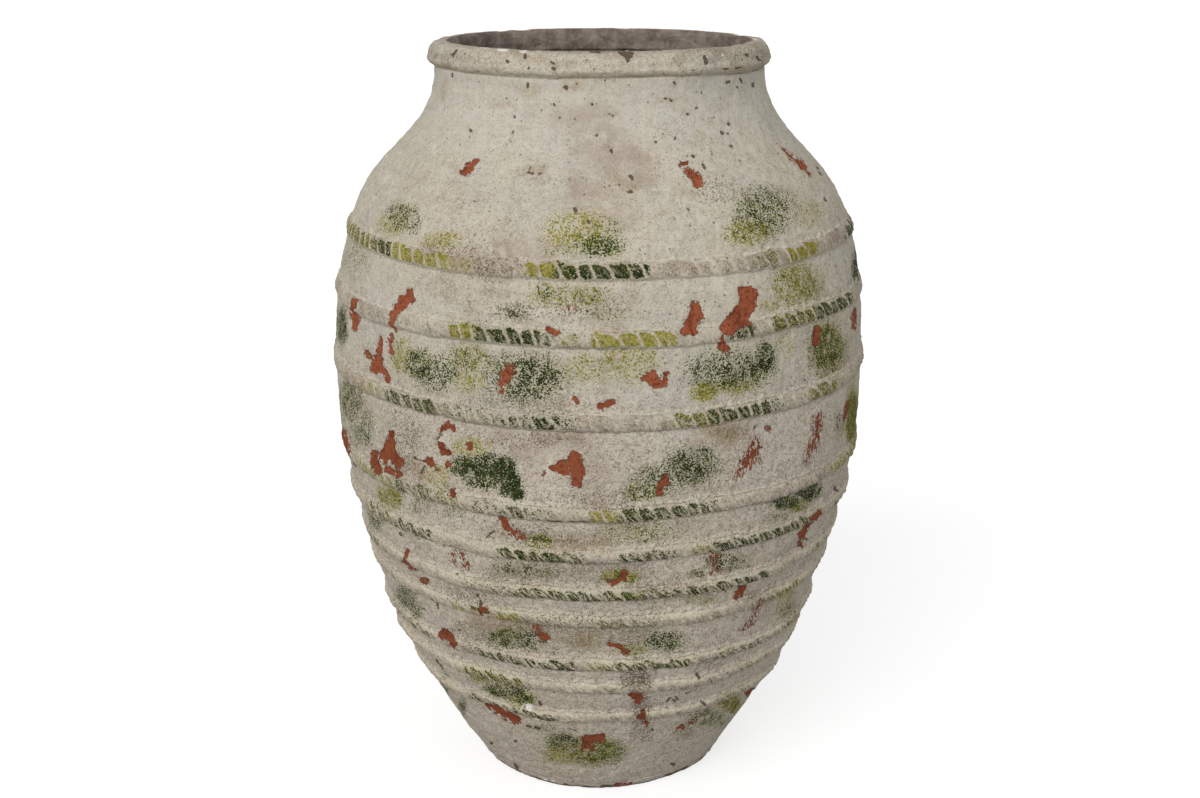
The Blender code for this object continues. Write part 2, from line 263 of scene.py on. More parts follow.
# Scrapes that took the wash off in slivers, as the same kind of strokes
SCRAPES = (
    (8, 508, 371, 503, 382), (4, 499, 384, 501, 392), (3.4, 566, 306, 574, 309),
    (4.6, 688, 170, 700, 183), (2.6, 681, 164, 688, 168), (2.4, 790, 156, 804, 170),
    (4.8, 508, 528, 523, 536), (3.4, 454, 553, 456, 562), (4.2, 461, 553, 468, 565),
    (4.6, 756, 440, 753, 452), (7.4, 753, 452, 746, 464), (4.2, 745, 466, 738, 477),
    (3, 760, 444, 759, 462), (5.6, 817, 418, 815, 434), (5.6, 815, 436, 810, 448),
    (3.2, 808, 452, 804, 462), (4.4, 716, 555, 712, 562), (3.4, 711, 563, 718, 571),
    (2, 718, 568, 707, 575), (3, 758, 598, 756, 612), (3.4, 755, 612, 751, 622),
    (3.2, 748, 622, 743, 629), (5, 537, 629, 542, 637), (4.4, 584, 746, 592, 746),
    (2.6, 682, 728, 696, 720),
)

# Small dark holes and specks, as the same kind of strokes
SPECKS = (
    (3.4, 622, 52, 630, 54), (2.2, 627, 56, 628, 60), (1.7, 591, 51, 599, 52), (1.3, 531, 49, 535, 49),
    (1.2, 453, 55, 457, 50), (1.3, 507, 61, 508, 62), (1.2, 529, 68, 529, 69), (1, 454, 77, 454, 78),
    (1.3, 554, 105, 555, 106), (1.3, 528, 85, 528, 88), (1, 514, 116, 515, 117),
    (0.9, 542, 110, 542, 111), (1.5, 525, 54, 525, 57), (1.2, 551, 62, 554, 64), (1.1, 552, 68, 555, 69),
    (1.2, 565, 88, 567, 89), (1, 575, 85, 577, 86), (1, 592, 104, 593, 105), (1.5, 610, 113, 613, 115),
    (1, 560, 117, 560, 119), (1, 605, 83, 605, 84), (0.9, 531, 166, 529, 169), (1, 528, 172, 533, 173),
    (1, 538, 173, 541, 172), (0.9, 542, 168, 543, 165), (1.2, 665, 99, 667, 99),
    (1.3, 670, 99, 672, 101), (1.2, 673, 85, 675, 86), (0.8, 702, 92, 702, 93), (1.1, 739, 78, 741, 82),
    (1.3, 736, 87, 738, 87), (1.1, 753, 83, 753, 87), (1.1, 726, 83, 729, 82), (0.9, 688, 113, 689, 114),
    (0.9, 696, 108, 698, 108), (1, 716, 110, 717, 112), (1.1, 729, 123, 730, 124),
    (0.8, 729, 133, 729, 133), (0.9, 731, 145, 732, 146), (1.2, 692, 156, 694, 157),
    (0.9, 687, 156, 688, 157), (1.3, 703, 164, 705, 168), (1.2, 739, 161, 741, 163),
    (1.4, 630, 175, 633, 179), (0.9, 619, 185, 620, 186), (1.2, 627, 192, 632, 192),
    (0.8, 663, 192, 666, 192), (0.9, 655, 173, 656, 174), (0.9, 654, 167, 655, 168),
    (0.8, 608, 206, 609, 207), (0.8, 722, 211, 724, 211), (1.1, 816, 168, 818, 169),
    (0.9, 819, 173, 821, 175), (1.2, 823, 199, 824, 201), (0.9, 675, 138, 675, 139),
    (0.6, 709, 117, 715, 117), (1.5, 704, 57, 706, 63), (1, 691, 70, 693, 70), (1, 746, 55, 749, 56),
    (1.2, 757, 57, 758, 60), (0.4, 722, 69, 740, 67), (1.5, 575, 208, 576, 211),
    (1.4, 481, 600, 483, 615), (1.2, 474, 606, 490, 611), (0.9, 527, 725, 532, 726),
    (0.9, 535, 726, 540, 728), (1.2, 611, 150, 612, 152), (1, 596, 134, 597, 135),
    (1.2, 655, 141, 656, 142), (1.1, 509, 139, 510, 140), (1.2, 722, 132, 724, 133),
    (1.2, 470, 130, 471, 131), (1.1, 588, 222, 589, 223), (1.2, 690, 226, 691, 227),
    (1.4, 512, 312, 515, 315), (1.3, 508, 309, 509, 311), (1.2, 497, 470, 498, 471),
    (1.3, 400, 533, 402, 535), (1.3, 700, 700, 703, 702), (1.4, 540, 702, 541, 704),
    (1.2, 450, 582, 451, 582), (1.2, 478, 595, 478, 596), (1.1, 471, 612, 471, 613),
    (1, 424, 609, 424, 610), (1, 459, 622, 459, 623), (1, 459, 630, 460, 630), (1, 453, 630, 453, 631),
    (1.2, 490, 706, 491, 706), (1.4, 515, 741, 516, 741), (1.2, 570, 669, 571, 669),
    (1.1, 574, 669, 574, 670), (1, 436, 660, 443, 669), (0.5, 570, 728, 577, 730),
    (1.3, 491, 743, 492, 743), (1.5, 834, 486, 835, 490), (1, 832, 501, 832, 503),
    (1.4, 807, 538, 808, 540), (1.2, 817, 517, 817, 520), (1.2, 667, 702, 670, 698),
    (1.1, 672, 699, 675, 701), (1.1, 676, 697, 679, 700), (0.7, 685, 693, 689, 691),
    (0.9, 681, 686, 682, 688), (1.2, 696, 673, 697, 675), (1.3, 652, 729, 653, 730),
    (1.6, 515, 765, 517, 768), (1.5, 672, 764, 674, 765), (0.9, 549, 520, 562, 521),
    (0.9, 570, 521, 586, 521), (0.9, 414, 458, 424, 462), (0.8, 424, 466, 420, 474),
    (1, 488, 536, 496, 530),
)

# Tan and ochre smudges, as the same kind of strokes
SMUDGES = (
    (4, 565, 88, 579, 87), (4, 522, 91, 536, 90), (4, 445, 86, 442, 98), (3, 446, 66, 450, 65),
    (3, 562, 76, 584, 75), (3, 495, 56, 516, 54), (3.5, 520, 57, 548, 58), (3.5, 551, 66, 555, 66),
    (3, 488, 68, 500, 66), (3, 492, 105, 512, 104), (3.5, 609, 113, 615, 114), (2.5, 592, 104, 594, 106),
    (4, 535, 33, 560, 31), (2.5, 662, 100, 672, 100), (3, 700, 134, 704, 136), (3, 684, 191, 690, 192),
    (3, 692, 192, 696, 193), (3.5, 680, 56, 680, 66), (2, 617, 75, 628, 75), (2.4, 661, 74, 672, 73),
    (1.8, 722, 70, 760, 63), (3, 767, 50, 768, 58), (4, 528, 170, 543, 168), (3, 684, 52, 700, 51),
    (3, 726, 68, 742, 66), (3, 668, 66, 680, 60), (3, 606, 56, 618, 54), (4, 612, 176, 634, 190),
    (5, 476, 612, 490, 610), (7, 470, 624, 536, 625), (9, 578, 640, 592, 646), (7, 552, 541, 612, 543),
    (4, 710, 50, 722, 51), (9, 712, 430, 728, 438), (5, 412, 462, 420, 478),
)

# Patches rubbed to a pinkish film, as the same kind of strokes
RUBBED = (
    (24, 590, 140, 640, 168), (16, 575, 190, 620, 215), (8, 500, 244, 545, 254), (8, 430, 252, 520, 262),
    (9, 700, 432, 750, 428), (12, 545, 440, 580, 436), (12, 506, 438, 528, 452),
    (14, 584, 470, 600, 480), (10, 560, 120, 600, 116), (10, 590, 456, 596, 500),
    (9, 584, 494, 616, 522), (7, 586, 290, 612, 330),
)

# Grimy patches, as the same kind of strokes
GRIME = (
    (9, 400, 462, 410, 466), (6, 418, 428, 414, 440), (7, 538, 437, 572, 441), (7, 712, 428, 742, 431),
    (8, 472, 312, 478, 322), (7, 488, 268, 490, 300), (8, 490, 530, 545, 534), (12, 500, 572, 640, 566),
    (14, 470, 634, 560, 630), (14, 560, 640, 640, 630), (8, 640, 668, 644, 684), (8, 638, 690, 642, 730),
    (9, 600, 746, 560, 742), (9, 752, 600, 766, 596), (10, 470, 400, 560, 408), (12, 640, 590, 700, 590),
    (9, 420, 478, 428, 502), (7, 556, 540, 606, 543), (7, 704, 60, 764, 52), (5, 706, 49, 754, 47),
    (6, 436, 56, 470, 60),
)

# Spatters of fresh lime, as the same kind of strokes
LIME = (
    (2.2, 529, 705, 531, 706), (2.2, 536, 716, 538, 717), (1.4, 482, 48, 488, 48),
    (1.5, 499, 50, 507, 50), (1.4, 521, 51, 526, 51), (1.2, 593, 31, 597, 31), (1.1, 711, 44, 714, 44),
    (0.9, 720, 55, 725, 55), (1.4, 654, 29, 657, 29), (1, 683, 32, 684, 32), (1.6, 722, 33, 727, 34),
    (1.6, 734, 34, 738, 35), (1.6, 744, 36, 747, 37), (1.4, 753, 38, 756, 39), (1.2, 729, 36, 731, 37),
    (1.2, 740, 39, 742, 40), (1.3, 652, 384, 653, 388), (1, 543, 779, 547, 780),
    (0.9, 552, 781, 554, 781), (1.5, 714, 749, 715, 749),
)

# Fine dark spray in the photograph's pixels: (x, y, half width, half height, strength)
SPRAYS = (
    (636, 680, 19, 14, 0.62), (642, 706, 12, 14, 0.5), (516, 312, 28, 12, 0.42),
    (700, 660, 30, 10, 0.34), (640, 728, 18, 18, 0.34), (580, 306, 50, 18, 0.36),
    (452, 250, 40, 10, 0.34), (500, 268, 40, 16, 0.3), (716, 190, 26, 16, 0.3), (700, 470, 40, 26, 0.34),
    (470, 590, 30, 20, 0.34), (560, 620, 60, 8, 0.36), (400, 440, 24, 30, 0.34), (520, 440, 60, 10, 0.3),
    (600, 500, 60, 12, 0.32),
)

# Runs of limewash down the wall, as strokes
RUNS = (
    (1.6, 645, 64, 646, 330), (1.2, 604, 78, 602, 130), (1.3, 652, 215, 653, 250),
    (1.4, 794, 330, 796, 420),
)

# Painted stretches of each rope band, from the top band down, in the photograph's pixels:
# (first x, last x, strength of green, strength of yellow)
BAND_PAINT = (
    (
        (340, 374, 0.5, 0.66), (374, 392, 0.8, 0.35), (390, 450, 0.14, 0.86), (450, 474, 0.1, 0.4),
        (526, 556, 0.2, 1), (554, 580, 0.85, 0.45), (578, 648, 0.95, 0.05), (752, 776, 0.4, 0.25),
        (786, 815, 0.15, 1), (843, 858, 0.85, 0),
    ),
    (
        (450, 476, 0.35, 0.95), (476, 540, 0.9, 0.25), (545, 553, 0.9, 0), (562, 580, 0.25, 0.35),
        (592, 676, 0.1, 0.92), (726, 752, 0.85, 0), (770, 815, 0.6, 0.65), (815, 848, 0.85, 0.05),
    ),
    (
        (362, 390, 0.05, 0.35), (388, 436, 0.85, 0.05), (436, 500, 0.35, 0), (500, 530, 0.55, 0.05),
        (530, 560, 0.92, 0), (560, 580, 0.42, 0), (672, 706, 0.5, 0.6), (706, 770, 0.85, 0.2),
        (768, 784, 0.42, 0), (808, 834, 0.45, 0.65),
    ),
    (
        (360, 398, 0.25, 0.45), (398, 412, 0.72, 0.05), (415, 431, 0.66, 0.05), (437, 462, 0.42, 0.36),
        (474, 500, 0.44, 0.05), (502, 528, 0.78, 0), (528, 556, 0.38, 0), (590, 620, 0.1, 0.72),
        (618, 698, 0.92, 0.05), (698, 718, 0.55, 0), (828, 853, 0.2, 0.6),
    ),
    (
        (372, 400, 0.5, 0.3), (398, 434, 0.8, 0.1), (500, 562, 0.95, 0.45), (560, 584, 0.62, 0.1),
        (618, 676, 0.66, 0), (692, 712, 0.25, 0.55), (708, 780, 0.9, 0.05), (780, 810, 0.75, 0.3),
    ),
    (
        (368, 390, 0.62, 0), (494, 515, 0.52, 0), (514, 612, 0.75, 0.05), (610, 640, 0.72, 0.85),
        (640, 680, 0.6, 0.05), (686, 766, 0.85, 0.05), (812, 824, 0.35, 0.35),
    ),
    (
        (456, 466, 0.1, 0.7), (470, 492, 0.25, 0.6), (497, 520, 0.2, 1), (592, 628, 0.42, 0.3),
        (628, 658, 0.26, 0.05), (708, 742, 0.25, 0.05), (764, 778, 0.4, 0.2), (776, 796, 0.2, 0.92),
    ),
    (
        (400, 436, 0.62, 0.05), (478, 514, 0.82, 0), (512, 574, 0.88, 0), (582, 608, 0.32, 0.4),
        (606, 688, 0.8, 0.4), (712, 790, 0.55, 0),
    ),
    (
        (466, 522, 0.62, 0.8), (598, 624, 0.32, 0), (708, 758, 0.32, 0.05),
    ),
    (
        (472, 528, 0.7, 0.1), (524, 558, 0.78, 0), (720, 740, 0.1, 0.4),
    ),
)

# The clay finishes: (grains of sponged paint in a metre, how ragged a chip's edge is, combed or not)
CLAY_FINISHES = {
    "Limewashed clay": (500.0, 2.0, False),
    "Painted rope clay": (470.0, 1.5, True),
    "Bare clay": (500.0, 2.0, False),
}


def linear(red, green, blue):
    """A colour given as a screen shows it, from 0 to 255, in Blender's linear values."""
    return tuple(((c / 255 + 0.055) / 1.055) ** 2.4 for c in (red, green, blue))


def smooth_step(low, high, value):
    share = np.clip((value - low) / (high - low), 0.0, 1.0)
    return share * share * (3.0 - 2.0 * share)


def hump(values, middle, spread):
    """A soft hump of height 1 round a middle value."""
    return np.exp(-(((values - middle) / spread) ** 2))


def between(values, rise_low, rise_high, fall_low, fall_high):
    """1 where values lie between two soft edges, easing to 0 outside them."""
    return smooth_step(rise_low, rise_high, values) * (1.0 - smooth_step(fall_low, fall_high, values))


def soften(values, spread):
    """A row of evenly spaced values, smoothed over a spread given in steps, with its ends kept in place."""
    reach = int(3 * spread)
    kernel = np.exp(-0.5 * (np.arange(-reach, reach + 1) / spread) ** 2)
    before = 2 * values[0] - values[reach:0:-1]
    after = 2 * values[-1] - values[-2 : -reach - 2 : -1]
    return np.convolve(np.concatenate([before, values, after]), kernel / kernel.sum(), "valid")


def waves(points, size, seed, count=20, stretch=(1.0, 1.0, 1.0)):
    """Smooth random relief of about unit height, with humps of about the given size in metres."""
    draw = np.random.default_rng(seed)
    total = np.zeros(len(points))
    for _ in range(count):
        direction = draw.normal(size=3)
        direction *= FULL_TURN / (np.linalg.norm(direction) * size * draw.uniform(0.7, 1.5))
        total += np.sin(points @ (direction / stretch) + draw.uniform(0.0, FULL_TURN))
    return total / math.sqrt(count / 2)


def wave_sum(points, rows):
    """Waves added up from rows of (share, size, seed, how far they are drawn out round the jar)."""
    return sum(share * waves(points, size, seed, stretch=(out, out, 1.0)) for share, size, seed, out in rows)


def cad_tree(names):
    """A search tree of some of the frame's clay members, for casting rays at them."""
    points = []
    faces = []
    for name in names:
        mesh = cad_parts[name].data
        first = len(points)
        points += [vertex.co.copy() for vertex in mesh.vertices]
        faces += [[first + corner for corner in face.vertices] for face in mesh.polygons]
    return BVHTree.FromPolygons(points, faces)


def read_wall():
    """(heights, outer radii, inner radii) of the frame's wall, a millimetre apart and freed of its facets."""
    tree = cad_tree((SLAB, *COURSES, RIM))
    floor_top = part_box(SLAB)[1].z
    heights = np.arange(2 * MILLIMETRE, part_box(RIM)[0].z, MILLIMETRE)
    aside = MILLIMETRE / 10
    outer = []
    inner = []
    for height in heights:
        hit = tree.ray_cast((1.0, aside, height), (-1.0, 0.0, 0.0))[0]
        outer.append(hit.x)
        within = max(height, floor_top + MILLIMETRE)
        hit = tree.ray_cast((0.0, aside, within), (1.0, 0.0, 0.0))[0]
        inner.append(hit.x)
    return heights, soften(np.array(outer), 7), soften(np.array(inner), 9)


HEIGHTS, OUTER, INNER = read_wall()
SLOPES = np.gradient(OUTER, HEIGHTS)


def outer_radius(height):
    return np.interp(height, HEIGHTS, OUTER)


def inner_radius(height):
    return np.interp(height, HEIGHTS, INNER)


def outer_slope(height):
    """How fast the outer radius grows with height."""
    return np.interp(height, HEIGHTS, SLOPES)


def wall_rows(low, high, spacing, radii):
    """Heights from low to high, evenly spaced along the wall."""
    inside = (HEIGHTS > low) & (HEIGHTS < high)
    heights = np.concatenate([[low], HEIGHTS[inside], [high]])
    steps = np.hypot(np.diff(heights), np.diff(np.interp(heights, HEIGHTS, radii)))
    run = np.concatenate([[0.0], np.cumsum(steps)])
    count = max(2, round(run[-1] / spacing) + 1)
    return np.interp(np.linspace(0.0, run[-1], count), run, heights)


def photo_place(points):
    """Where points fall in the photograph, in its pixels, as x and y down."""
    across = points[:, 0] - CAMERA_PLACE[0]
    away = points[:, 1] - CAMERA_PLACE[1]
    above = points[:, 2] - CAMERA_PLACE[2]
    depth = away * math.cos(CAMERA_PITCH) - above * math.sin(CAMERA_PITCH)
    up = away * math.sin(CAMERA_PITCH) + above * math.cos(CAMERA_PITCH)
    scale = IMAGE_WIDTH * CAMERA_LENS / SENSOR_WIDTH / depth
    return IMAGE_WIDTH / 2 + scale * across, IMAGE_HEIGHT / 2 - scale * up


def facing(points):
    """How squarely the wall at some points faces the photograph's viewer, from 1 down to -1."""
    slope = outer_slope(points[:, 2])
    radius = np.hypot(points[:, 0], points[:, 1])
    run = np.hypot(1.0, slope)
    normal = np.stack([points[:, 0] / radius / run, points[:, 1] / radius / run, -slope / run], axis=1)
    towards = np.array(CAMERA_PLACE) - points
    return np.einsum("ij,ij->i", normal, towards) / np.linalg.norm(towards, axis=1)


def near_box(across, down, low_x, high_x, low_y, high_y):
    """Which places lie in a box, as their numbers."""
    if low_y > down.max() or high_y < down.min():
        return np.zeros(0, int)
    level = np.flatnonzero((down > low_y) & (down < high_y))
    beside = across[level]
    return level[(beside > low_x) & (beside < high_x)]


def stroke_field(across, down, strokes, reach=9.0):
    """How deep each place lies inside the nearest stroke, in the strokes' unit, and below zero outside."""
    field = np.full(len(across), -reach)
    for half_width, x0, y0, x1, y1 in strokes:
        room = half_width + reach
        left, right = sorted((x0, x1))
        top, bottom = sorted((y0, y1))
        near = near_box(across, down, left - room, right + room, top - room, bottom + room)
        x = across[near] - x0
        y = down[near] - y0
        squared_length = max((x1 - x0) ** 2 + (y1 - y0) ** 2, 1e-6)
        share = np.clip((x * (x1 - x0) + y * (y1 - y0)) / squared_length, 0.0, 1.0)
        distance = np.hypot(x - share * (x1 - x0), y - share * (y1 - y0))
        field[near] = np.maximum(field[near], half_width - distance)
    return field


def dab_fields(across, down, dabs):
    """(green, yellow) strengths of the sponged dabs."""
    green = np.zeros(len(across))
    yellow = np.zeros(len(across))
    edge = 1.25
    for x, y, half_width, half_height, green_strength, yellow_strength in dabs:
        wide = half_width * edge
        high = half_height * edge
        near = near_box(across, down, x - wide, x + wide, y - high, y + high)
        reach = np.hypot((across[near] - x) / half_width, (down[near] - y) / half_height)
        cover = 1.0 - smooth_step(0.45, edge, reach)
        green[near] = np.maximum(green[near], cover * green_strength)
        yellow[near] = np.maximum(yellow[near], cover * yellow_strength)
    return green, yellow


def unseen_marks(seed=7):
    """Dabs, chips, scrapes and specks of the same kinds for the sides that the photograph doesn't show.

    They are laid out in millimetres: across from the middle of the back, and down from the top of the jar.
    """
    draw = np.random.default_rng(seed)
    middles = [(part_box(band)[0].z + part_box(band)[1].z) / 2 for band in BANDS]
    edges = [0.80, *middles, 0.03]
    dabs = []
    chips = []
    scrapes = []
    specks = []
    for high, low in zip(edges, edges[1:]):
        room = (high - low) / MILLIMETRE
        middle = (high + low) / 2
        half_turn = float(outer_radius(middle)) * math.pi / MILLIMETRE
        across = -half_turn + draw.uniform(0, 60)
        while across < half_turn:
            down = -middle / MILLIMETRE + draw.uniform(-0.18, 0.18) * room
            half_height = min(draw.uniform(18, 34), 0.48 * room)
            half_width = half_height * draw.uniform(1.1, 2.2)
            green = draw.choice([0.1, 0.45, 0.7, 0.95])
            yellow = draw.choice([0.0, 0.3, 0.6])
            dabs.append((across, down, half_width, half_height, green, yellow))
            for _ in range(3):
                dabs.append(
                    (
                        across + draw.uniform(-1.0, 1.0) * half_width,
                        down + draw.uniform(-0.6, 0.7) * half_height,
                        half_width * draw.uniform(0.4, 0.9),
                        half_height * draw.uniform(0.3, 0.7),
                        green * draw.uniform(0.3, 0.9),
                        draw.choice([0.0, 0.1, 0.5, 0.8]),
                    )
                )
            across += draw.uniform(70, 190)
        for _ in range(int(half_turn / 110) + 2):
            x = draw.uniform(-half_turn, half_turn)
            y = -draw.uniform(low, high) / MILLIMETRE
            kind = draw.random()
            strokes = scrapes if kind < 0.25 else chips
            width = draw.uniform(2.2, 8.0)
            heading = draw.uniform(0.0, FULL_TURN)
            for _ in range(draw.integers(2, 7)):
                step = width * draw.uniform(0.6, 1.8)
                x2 = x + step * math.cos(heading)
                y2 = y + step * math.sin(heading)
                strokes.append((width, x, y, x2, y2))
                x, y = x2, y2
                heading += draw.uniform(-1.3, 1.3)
                width *= draw.uniform(0.5, 1.15)
        for _ in range(8):
            x = draw.uniform(-half_turn, half_turn)
            y = -draw.uniform(low, high) / MILLIMETRE
            specks.append((draw.uniform(1.0, 1.8), x, y, x + draw.uniform(-4, 4), y + draw.uniform(-3, 3)))
    return dabs, chips, scrapes, specks


UNSEEN_DABS, UNSEEN_CHIPS, UNSEEN_SCRAPES, UNSEEN_SPECKS = unseen_marks()


def back_place(points):
    """Where points fall in the layout of the unseen marks: across from the middle of the back, and down."""
    angle = np.arctan2(points[:, 0], points[:, 1])
    return -angle * outer_radius(points[:, 2]) / MILLIMETRE, -points[:, 2] / MILLIMETRE


def surface_marks(points):
    """Every mark on the wall at some points, by name.

    Fields are in millimetres, and strengths run from 0 to 1.
    """
    x, y = photo_place(points)
    shown = smooth_step(-0.25, -0.05, facing(points))
    across, down = back_place(points)
    green, yellow = dab_fields(x, y, DABS)
    back_green, back_yellow = dab_fields(across, down, UNSEEN_DABS)

    def both(strokes, unseen):
        seen = stroke_field(x, y, strokes)
        hidden = stroke_field(across, down, unseen)
        return np.where(shown > 0.5, seen, hidden)

    def soft(strokes, fade):
        return shown * smooth_step(-fade, fade, stroke_field(x, y, strokes, reach=fade))

    patchy = (1.0 + 0.16 * waves(points, 0.013, 31)) * (0.84 + 0.18 * crustiness(points))
    deepest = 8.0
    sprays = [(*spray, 0.0) for spray in SPRAYS]
    return {
        "green": np.clip((shown * green + (1 - shown) * back_green) * patchy, 0.0, 1.2),
        "yellow": np.clip((shown * yellow + (1 - shown) * back_yellow) * patchy, 0.0, 1.2),
        "chip": np.clip(both(CHIPS, UNSEEN_CHIPS), -deepest, deepest),
        "scrape": np.clip(both(SCRAPES, UNSEEN_SCRAPES), -deepest, deepest),
        "speck": np.clip(both(SPECKS, UNSEEN_SPECKS), -deepest, deepest),
        "lime": np.clip(stroke_field(x, y, LIME), -deepest, deepest) * shown - deepest * (1 - shown),
        "run": soft(RUNS, 2.5),
        "spray": shown * dab_fields(x, y, sprays)[0],
        "smudge": soft(SMUDGES, 5.0),
        "rubbed_film_and_shade": soft(RUBBED, 14.0),
        "grime": soft(GRIME, 12.0),
    }


def band_middle(index, angle):
    """Height of a rope band's middle at some angles, with its hand-laid sag and wobble."""
    low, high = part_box(BANDS[index])
    every = np.arange(-180.0, 180.0)
    sag = np.interp(every, SAG_ANGLES, BAND_SAG_MM[index], period=360.0)
    spread = 7
    sag = soften(np.concatenate([sag, sag, sag]), spread)[360:720]
    wobble = 0.35 * np.sin(5 * angle + index) + 0.25 * np.sin(11 * angle + 2.3 * index)
    drop = np.interp(np.degrees(angle), every, sag, period=360.0) + wobble
    return (low.z + high.z) / 2 - drop * MILLIMETRE


def near_bands(points, settings):
    """(groove, dirt and shade) on the wall: the tool's groove under each band, painted shade below it, and
    dust above it.
    """
    angle = np.arctan2(points[:, 1], points[:, 0])
    groove = np.zeros(len(points))
    dirt_and_shade = np.zeros(len(points))
    half = settings.rope_width / 2
    for index in range(len(BANDS)):
        middle = band_middle(index, angle)
        run = np.hypot(1.0, outer_slope(middle))
        above = (points[:, 2] - middle) * run
        groove = np.maximum(groove, hump(above, -half * 1.16, 1.8 * MILLIMETRE))
        # Painted shade: a dark line just below each band, where its undercut shades the wall
        dirt_and_shade = np.maximum(dirt_and_shade, 0.35 * hump(above, -half * 1.20, 2.2 * MILLIMETRE))
        # Dust along the wall just above each band
        dirt_and_shade = np.maximum(dirt_and_shade, 0.35 * hump(above, half * 0.95, 5.0 * MILLIMETRE))
    return groove, dirt_and_shade


def wall_relief(points, settings):
    """How far the worn, hand-smoothed outer face stands out from the turned wall, in metres."""
    rows = (
        (1.00, 0.1700, 11, 1.0),
        (0.45, 0.0600, 12, 1.0),
        (0.24, 0.0240, 13, 1.0),
        (0.17, 0.0110, 14, 1.0),
        (0.16, 0.0065, 16, 1.0),
        (0.16, 0.0180, 15, 7.0),
    )
    return settings.lump_height * wave_sum(points, rows)


def crustiness(points):
    """How rough the wash lies: smoothest on the shoulder, and crusted on the lower wall."""
    patches = 0.14 * waves(points, 0.08, 17)
    return np.clip(0.14 + 0.80 * smooth_step(0.68, 0.42, points[:, 2]) + patches, 0.0, 1.2)


def within_box(radius):
    """Radii eased in under the frame's own greatest radius."""
    limit = CAD_BOX[1].x - BOX_MARGIN
    ease = MILLIMETRE / 2
    return limit - ease * np.logaddexp(0.0, (limit - radius) / ease)


def turned_mesh(name, section, steps, closed=True):
    """A section of (radius, height) points spun round the jar's axis, with its faces pointing out.

    One sector is spun finely, and the sector is then spun round as copies that are merged at their edges.
    """
    shape = bmesh.new()
    corners = [shape.verts.new((radius, 0.0, height)) for radius, height in section]
    pairs = list(zip(corners, corners[1:]))
    if closed:
        pairs.append((corners[-1], corners[0]))
    edges = [shape.edges.new(pair) for pair in pairs]
    sector = FULL_TURN / SECTORS
    spin = {"axis": (0.0, 0.0, 1.0), "cent": (0.0, 0.0, 0.0)}
    bmesh.ops.spin(shape, geom=corners + edges, angle=sector, steps=steps // SECTORS, **spin)
    whole = [*shape.verts, *shape.edges, *shape.faces]
    bmesh.ops.spin(shape, geom=whole, angle=FULL_TURN - sector, steps=SECTORS - 1, use_duplicate=True, **spin)
    bmesh.ops.remove_doubles(shape, verts=shape.verts, dist=MERGE_DISTANCE)
    bmesh.ops.recalc_face_normals(shape, faces=shape.faces)
    mesh = bpy.data.meshes.new(name)
    shape.to_mesh(mesh)
    shape.free()
    mesh.shade_smooth()
    return mesh


def read_points(mesh):
    flat = np.zeros(len(mesh.vertices) * 3, np.float32)
    mesh.vertices.foreach_get("co", flat)
    return flat.reshape(-1, 3).astype(float)


def write_points(mesh, points):
    mesh.vertices.foreach_set("co", points.astype(np.float32).ravel())
    mesh.update()


def write_marks(mesh, marks):
    """Stores each mark on the mesh as an attribute that its material reads."""
    for name, values in marks.items():
        attribute = mesh.attributes.new(name, "FLOAT", "POINT")
        attribute.data.foreach_set("value", values.astype(np.float32))


def write_round(mesh, angle, girth):
    """Stores how far round the jar each corner of a band lies from the middle of the back, in metres."""
    corners = np.zeros(len(mesh.loops), np.int32)
    mesh.loops.foreach_get("vertex_index", corners)
    way = np.mod(angle - math.pi / 2, FULL_TURN) / FULL_TURN
    faces = way[corners].reshape(-1, 4)
    closing = np.ptp(faces, axis=1) > 0.5
    faces[closing] += faces[closing] < 0.5
    attribute = mesh.attributes.new("round", "FLOAT", "CORNER")
    attribute.data.foreach_set("value", (faces.ravel() * girth).astype(np.float32))


def place_piece(name, mesh, material):
    """Puts a finished piece into the scene in place of its clay member of the frame."""
    mesh.materials.append(material)
    piece = bpy.data.objects.new("worn_" + name, mesh)
    bpy.context.scene.collection.objects.link(piece)
    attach(piece, BODY)
    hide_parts(name)
    return piece


def on_wall(radius, angle, height):
    return np.stack([radius * np.cos(angle), radius * np.sin(angle), height], axis=1)


def push_out(points, distance, slope):
    """Points moved out from the wall along its own direction by some distances."""
    radius = np.hypot(points[:, 0], points[:, 1])
    run = np.hypot(1.0, slope)
    grown = within_box(radius + distance / run)
    scale = grown / radius
    height = points[:, 2] - distance * slope / run
    return np.stack([points[:, 0] * scale, points[:, 1] * scale, height], axis=1)


def chip_hollow(marks):
    """How far the surface is knocked back by chips and scrapes, as a share of their depth."""
    return smooth_step(-0.4, 1.0, marks["chip"]) + 0.3 * smooth_step(-0.6, 2.0, marks["scrape"])


